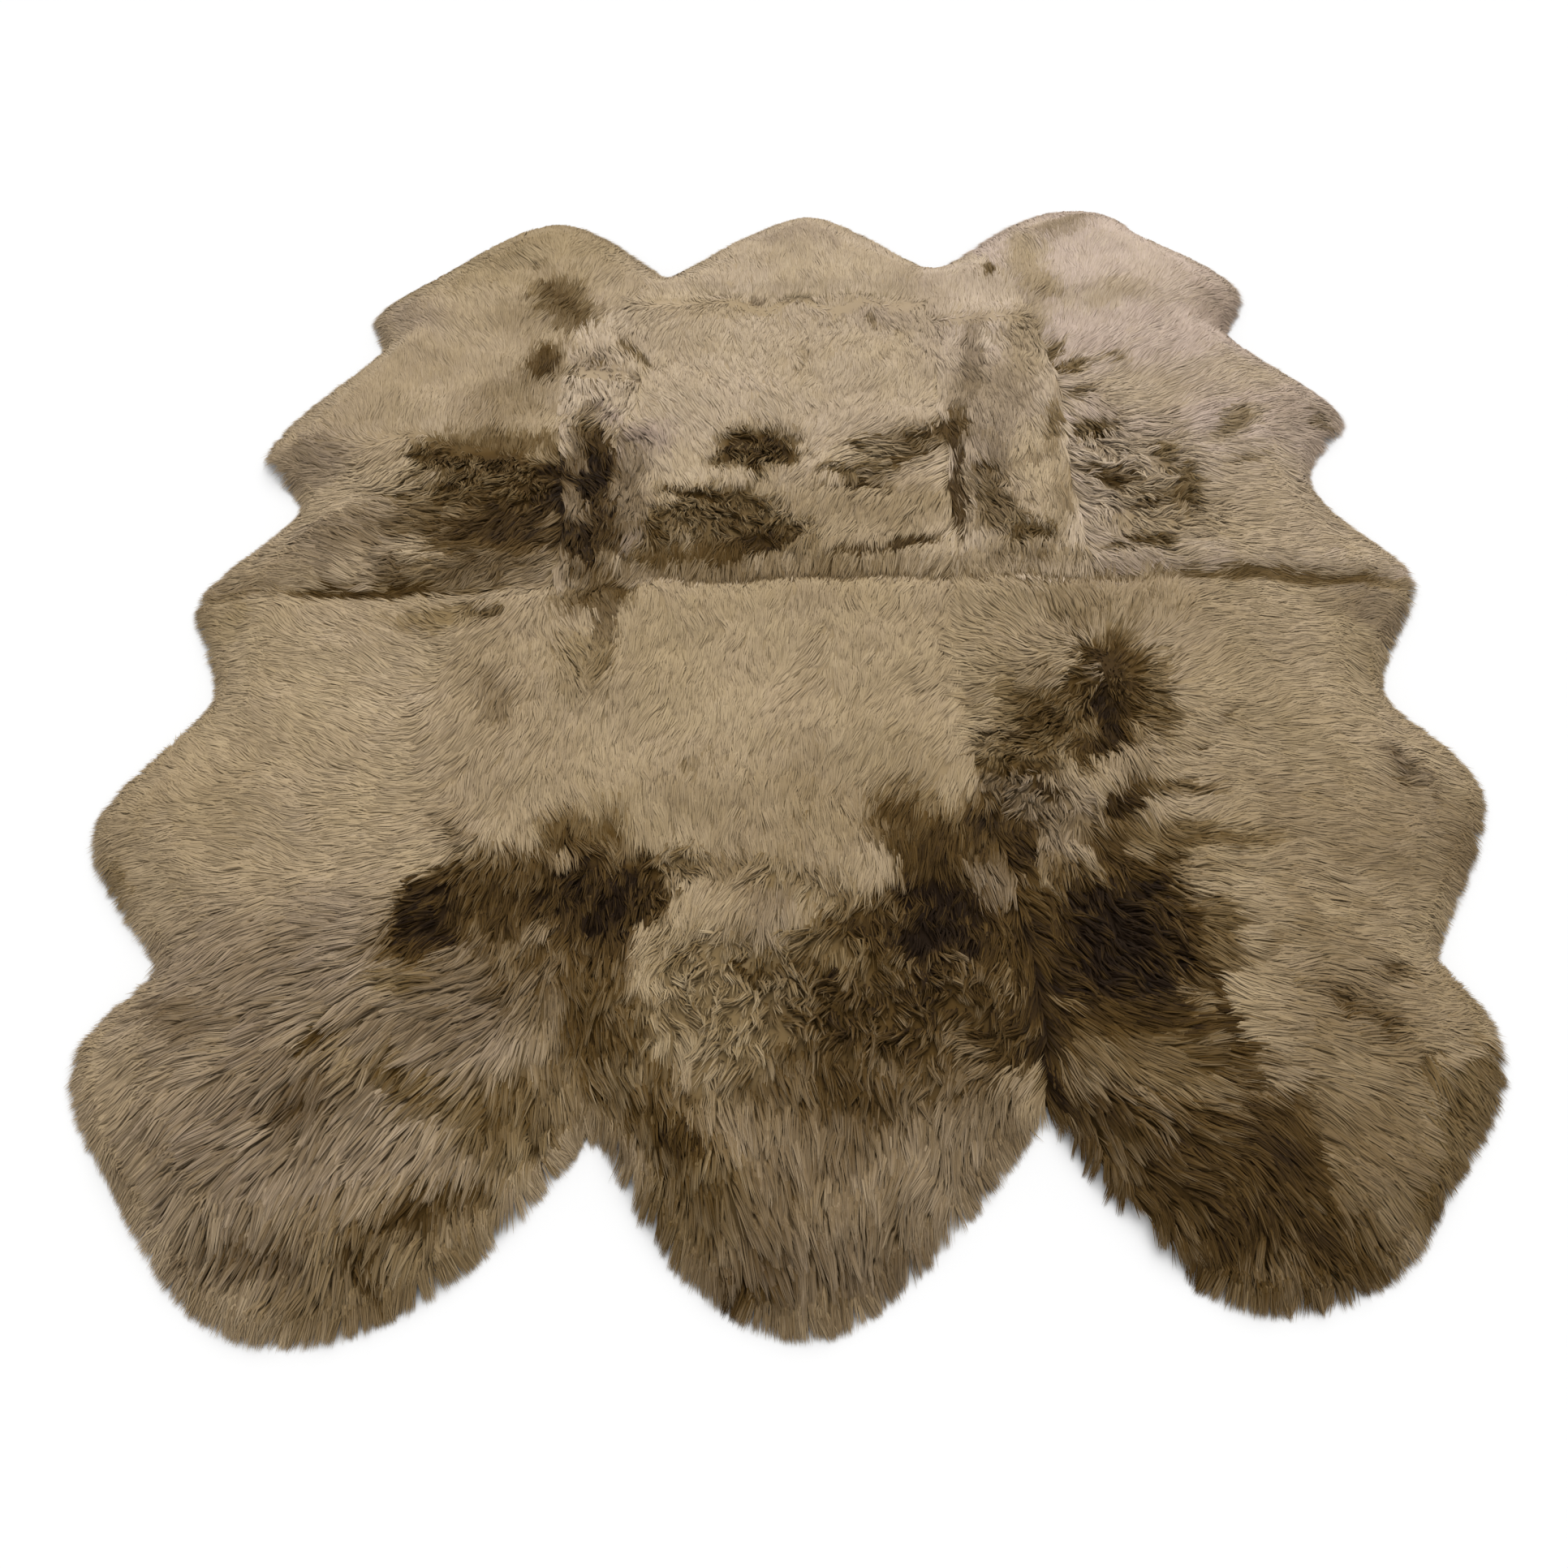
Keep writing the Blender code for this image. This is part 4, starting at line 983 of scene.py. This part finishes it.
# Back left pelt: tan, with a broad dark patch low down beside the strip.
fleece("back_left_pelt", plain=(73, 0.38, 2, 6), lie=[
    (-85, 2, 178), (-78, 7, 172), (-68, 14, 164), (-76, 25, 148), (-80, 33, 138), (-75, 42, 124),
    (-66, 46, 108), (-56, 48, 95), (-47, 45, 90), (-64, 38, 80), (-55, 37, 78), (-45, 34, 82),
    (-62, 27, -110), (-50, 22, -95), (-50, 14, 185), (-58, 8, 172), (-45, 9, -120), (-50, 5, 182),
    (-66, 60, 126), (-70, 66, 140), (-56, 60, 108), (-60, 71, 134), (-50, 80, 120), (-60, 80, 130),
    (-45, 88, 100), (-38, 87, 72), (-45, 70, 90), (-40, 64, 62), (-35, 76, 78), (-30, 76, 68), (-43, 52, 90),
], marks=[
    (-480, 830, 190, 120, 20, 1.1, 65, OLIVE, 0, 10), (-660, 630, 70, 40, -40, 1.2, 66, TAUPE, 0, 10),
    (-680, 440, 120, 70, 40, 1.2, 69, TAN, 0, 10), (-800, 50, 110, 40, 15, 1.1, 63, TAN, 0, 10),
    (-660, 110, 110, 50, 12, 1, 52, TAUPE, 0, 40), (-760, 280, 60, 55, 60, 1.1, 57, TAUPE, 10, 10),
    (-470, 400, 80, 60, 60, 1.2, 56, TAN, 10, 20), (-640, 225, 60, 36, -10, 0.8, 70, TAN, 20, 30),
    (-470, 600, 60, 40, -20, 1.2, 64, TAN, 10, 10), (-570, 260, 50, 30, -30, 0.8, 34, OLIVE, 60, 20, 2),
    (-470, 295, 115, 36, -3, 0.9, 33, OLIVE, 0, 30, 2), (-450, 250, 130, 26, -8, 0.7, 19, OLIVE, 70, 10, 4),
    (-460, 190, 118, 62, 0, 0.8, 20, OLIVE, 80, 20, 4), (-470, 110, 120, 48, -4, 0.8, 18, TAN, 30, 30, 3),
    (-580, 130, 50, 30, 0, 1, 36, TAN, 30, 30, 1), (-470, 70, 90, 18, -3, 0.9, 28, OLIVE, 10, 20, 1),
    (-385, 190, 30, 14, 60, 0.8, 9, TAN, 60, 0, 5), (-605, 178, 65, 6, -6, 0.9, 34, OLIVE, 40, 20, 2),
    (-615, 45, 30, 18, 0, 0.9, 38, TAUPE, 70, 10, 1), (-385, 70, 16, 8, 30, 0.9, 46, TAUPE, 50, 20),
    (-415, 495, 60, 32, 82, 0.8, 26, OLIVE, 10, 20, 3), (-410, 475, 25, 16, 70, 0.9, 15, OLIVE, 20, 10, 4),
    (-395, 645, 85, 45, -62, 0.9, 36, OLIVE, 10, 30, 1), (-410, 665, 45, 18, -62, 0.9, 27, OLIVE, 30, 20, 2),
    (-425, 565, 22, 14, -40, 0.9, 72, TAN, 20, 30), (-467, 765, 20, 12, 40, 0.9, 40, OLIVE, 40, 10, 2),
    (-500, 790, 26, 12, -50, 1, 52, OLIVE, 20, 10, 1), (-467, 662, 12, 8, 0, 0.9, 42, TAUPE, 40, 10, 2),
    (-495, 490, 14, 10, 40, 0.9, 56, OLIVE, 40, 10, 1), (-480, 845, 45, 14, 20, 1, 60, OLIVE, 10, 10),
])

# Left strip: grey-beige at the top, dark brown at the foot.
fleece("back_left_strip", plain=(81, 0.5, 10, 30), lie=[
    (-33, 60, 95), (-33, 50, 100), (-34, 42, -80), (-32, 35, -110), (-36, 30, -75), (-35, 22, -70),
    (-34, 12, -80), (-31, 8, -100),
], marks=[
    (-335, 500, 40, 30, 20, 1.1, 62, TAUPE, 60, 20), (-335, 490, 10, 7, 0, 0.9, 32, OLIVE, 60, 10, 2),
    (-322, 395, 13, 10, 40, 0.9, 36, TAUPE, 50, 10, 2), (-310, 360, 30, 16, -70, 1.1, 60, PINK, 30, 20, 1),
    (-335, 310, 30, 50, 0, 1.1, 46, OLIVE, 40, 30, 1),
])

# Back middle pelt: pale and long, with dark curled patches low on the left.
fleece("back_middle_pelt", plain=(78.5, 0.47, 2, 4), lie=[
    (-20, 62, -95), (-10, 60, -92), (0, 60, -90), (12, 60, -90), (20, 60, -88), (-22, 50, -85),
    (-20, 40, -62), (-22, 29, -70), (-5, 40, -80), (5, 42, -95), (15, 41, -110), (20, 38, -115),
    (10, 50, -95), (-20, 66, 105), (-7, 66, 92), (7, 66, 88), (18, 66, 84), (10, 17, -120), (15, 18, -125),
    (4, 14, -115), (20, 13, -100), (-1, 20, -100), (12, 25, 188), (10, 5, -95), (-10, 5, -95),
    (-20, 10, -82), (-25, 18, -90), (-27, 8, -110),
], marks=[
    (50, 120, 200, 90, 0, 1.2, 61, 0.25, 0, 30), (-250, 285, 60, 40, 40, 1.1, 66, PINK, 20, 30),
    (0, 30, 200, 20, 0, 1.1, 62, TAN, 0, 20), (-120, 625, 80, 24, 10, 1.2, 72, TAN, 0, 10),
    (0, 648, 230, 8, -1, 1.3, 70, TAN, 0, 10, 1), (170, 600, 90, 40, -15, 1.2, 74, TAUPE, 0, 10),
    (-70, 648, 14, 8, 0, 0.9, 50, TAUPE, 20, 10, 1), (125, 588, 22, 10, -60, 1, 58, TAN, 20, 10, 1),
    (172, 556, 16, 10, -30, 1, 60, OLIVE, 20, 10, 1), (5, 480, 40, 10, 85, 1.1, 70, TAN, 0, 30, 1),
    (-63, 270, 72, 50, -8, 0.9, 14, 0, 90, 20, 3), (-125, 120, 115, 74, -8, 0.7, 40, OLIVE, 90, 20, 3),
    (-165, 175, 50, 22, -20, 0.8, 22, OLIVE, 90, 10, 3), (-210, 100, 60, 40, 60, 0.9, 30, OLIVE, 70, 20, 2),
    (-60, 85, 40, 30, 40, 0.7, 24, OLIVE, 80, 10, 3), (-75, 66, 36, 16, 20, 0.7, 15, OLIVE, 70, 10, 4),
    (-180, 53, 85, 17, 3, 0.8, 29, OLIVE, 10, 20, 2), (-270, 88, 35, 20, -40, 1, 54, PINK, 10, 30),
    (140, 262, 108, 46, 28, 1, 57, TAN, 50, 30, 1), (200, 300, 45, 12, 30, 1, 27, OLIVE, 50, 20, 2),
    (160, 255, 50, 9, 22, 1, 29, OLIVE, 50, 20, 2), (90, 285, 40, 9, 25, 1, 34, OLIVE, 60, 10, 1),
    (60, 225, 50, 14, 15, 0.8, 38, OLIVE, 50, 10, 1), (70, 190, 50, 13, 5, 0.9, 12, TAN, 30, 10, 4),
    (135, 70, 90, 16, 12, 0.9, 13, TAN, 10, 20, 4), (45, 60, 30, 10, 45, 0.8, 30, TAN, 10, 0, 4),
])

# Back middle collar: the pelt's neck, sewn on across it, and combed out over the rim.
fleece("back_middle_collar", plain=(78.5, 0.45, 3, 5), lie=[
    (-20, 74, 110), (-10, 78, 100), (0, 80, 90), (10, 80, 84), (17, 75, 78), (0, 90, 90), (-15, 70, 100),
    (0, 70, 90), (15, 70, 85),
], marks=[
    (0, 860, 80, 40, 0, 1.2, 70, TAUPE, 0, 10), (60, 840, 30, 12, -60, 1, 64, TAUPE, 0, 10),
])

# Right strip: brown at the foot, with one long pale lock, and grey-beige above.
fleece("back_right_strip", plain=(83, TAUPE, 3, 6), lie=[
    (30, 80, 80), (35, 76, 85), (30, 66, 88), (30, 52, -85), (35, 42, -92), (26, 32, -82), (27, 20, -75),
    (30, 10, -98), (38, 28, -88), (38, 15, -90),
], marks=[
    (320, 400, 90, 60, 86, 1.2, 63, TAUPE, 0, 10), (285, 480, 90, 22, 80, 1.1, 52, TAUPE, 0, 20, 1),
    (250, 360, 90, 22, 80, 1.1, 54, TAUPE, 0, 30, 1), (300, 290, 70, 40, -60, 1.1, 55, TAUPE, 10, 40),
    (285, 155, 85, 50, 90, 0.9, 37, TAN, 50, 30, 1), (285, 225, 22, 12, -50, 0.9, 25, TAN, 50, 10, 3),
    (335, 85, 45, 22, 0, 0.8, 32, OLIVE, 90, 10, 2), (315, 45, 90, 18, 0, 1, 50, TAN, 40, 20),
    (370, 240, 100, 40, 86, 1.2, 72, TAN, 0, 20), (388, 170, 80, 21, 86, 0.9, 55, TAN, 0, 30),
    (375, 265, 40, 12, 35, 0.9, 55, TAN, 0, 20), (345, 738, 36, 14, 85, 0.8, 36, OLIVE, 20, 10, 2),
])

# Back right pelt: the palest, with a pink cast, speckled and curled near the strip.
fleece("back_right_pelt", plain=(82, PINK, 4, 8), lie=[
    (45, 30, -60), (50, 20, -22), (60, 20, -12), (70, 20, -5), (76, 14, 0), (84, 4, 0), (60, 30, 0),
    (60, 38, 28), (55, 46, 45), (66, 50, 35), (72, 44, 24), (80, 45, 20), (80, 34, 8), (60, 60, 58),
    (70, 65, 48), (50, 66, 75), (60, 75, 64), (70, 76, 50), (55, 85, 70), (50, 91, 82), (60, 90, 65),
    (45, 80, 90), (42, 86, 96), (75, 70, 30), (55, 10, 0), (45, 10, -60), (65, 6, 0),
], marks=[
    (560, 800, 120, 120, 0, 1.2, 87, PINK, 0, 0), (700, 120, 260, 130, 0, 1.1, 74, 0.5, 0, 10),
    (620, 420, 200, 60, 15, 1.2, 78, 0.6, 0, 10), (800, 360, 90, 60, 0, 1.2, 75, PINK, 0, 10),
    (740, 640, 50, 50, 0, 1.1, 71, PINK, 0, 10), (540, 660, 70, 30, 20, 1.2, 77, TAUPE, 0, 10),
    (430, 690, 45, 30, -40, 1.1, 66, TAN, 40, 10), (500, 875, 65, 30, 30, 1.1, 60, TAUPE, 0, 10),
    (500, 210, 120, 100, 80, 1.2, 69, TAUPE, 70, 30, 1), (560, 130, 80, 70, 0, 1.1, 64, TAN, 60, 30, 1),
    (455, 310, 50, 24, 35, 0.9, 25, OLIVE, 80, 20, 3), (490, 195, 50, 13, -15, 0.9, 20, TAN, 80, 20, 3),
    (530, 150, 40, 10, 30, 0.9, 26, TAN, 80, 20, 2), (490, 62, 60, 14, 0, 1, 32, OLIVE, 90, 10, 3),
    (585, 170, 45, 24, 75, 1, 40, OLIVE, 80, 20, 1), (570, 255, 35, 16, 80, 1, 42, OLIVE, 70, 20, 1),
    (455, 395, 30, 13, 20, 0.9, 50, TAN, 60, 10, 1), (445, 465, 40, 20, 25, 0.8, 42, OLIVE, 80, 10, 2),
    (430, 525, 26, 12, 50, 0.9, 46, OLIVE, 70, 10, 1), (530, 490, 20, 16, 0, 1, 64, TAN, 60, 10, 1),
    (690, 320, 55, 20, 40, 1.1, 60, TAN, 40, 20, 1), (690, 245, 40, 12, 20, 1, 60, TAN, 40, 20, 1),
    (845, 352, 28, 20, 20, 0.9, 44, TAUPE, 50, 20, 2),
])


# The floor and the light: a white sweep under a broad soft lamp, as for a catalogue picture.
floor = make_piece(
    "floor",
    np.array([(-12.0, -12.0, 0), (12.0, -12.0, 0), (12.0, 12.0, 0), (-12.0, 12.0, 0)]),
    np.arange(4),
    np.array([4]),
)
paper = Finish("white paper", roughness=0.95, specular=0.0)
paper.set(paper.shader.inputs["Base Color"], (0.78, 0.78, 0.78, 1))
floor.data.materials.append(paper.material)

world = bpy.data.worlds.new("studio")
bpy.context.scene.world = world
world.use_nodes = True
world.node_tree.nodes["Background"].inputs["Color"].default_value = (1.0, 1.0, 1.0, 1)
world.node_tree.nodes["Background"].inputs["Strength"].default_value = 0.68

lamp = bpy.data.lights.new("softbox", "SUN")
lamp.angle = np.radians(60)
lamp.energy = 2.55
lamp_object = bpy.data.objects.new("softbox", lamp)
lamp_object.location = (1.6, 2.6, 5.2)
lamp_object.rotation_euler = (np.radians(-38), np.radians(8), 0)
bpy.context.scene.collection.objects.link(lamp_object)

camera = bpy.data.cameras.new("camera")
camera.sensor_width = 36
camera.lens = 26.09
camera_object = bpy.data.objects.new("camera", camera)
camera_object.location = (-0.044, -1.109, 1.2515)
camera_object.rotation_euler = (np.radians(90 - 57.53), 0, np.radians(-1.1))
bpy.context.scene.collection.objects.link(camera_object)
bpy.context.scene.camera = camera_object
bpy.context.scene.view_settings.view_transform = "Standard"
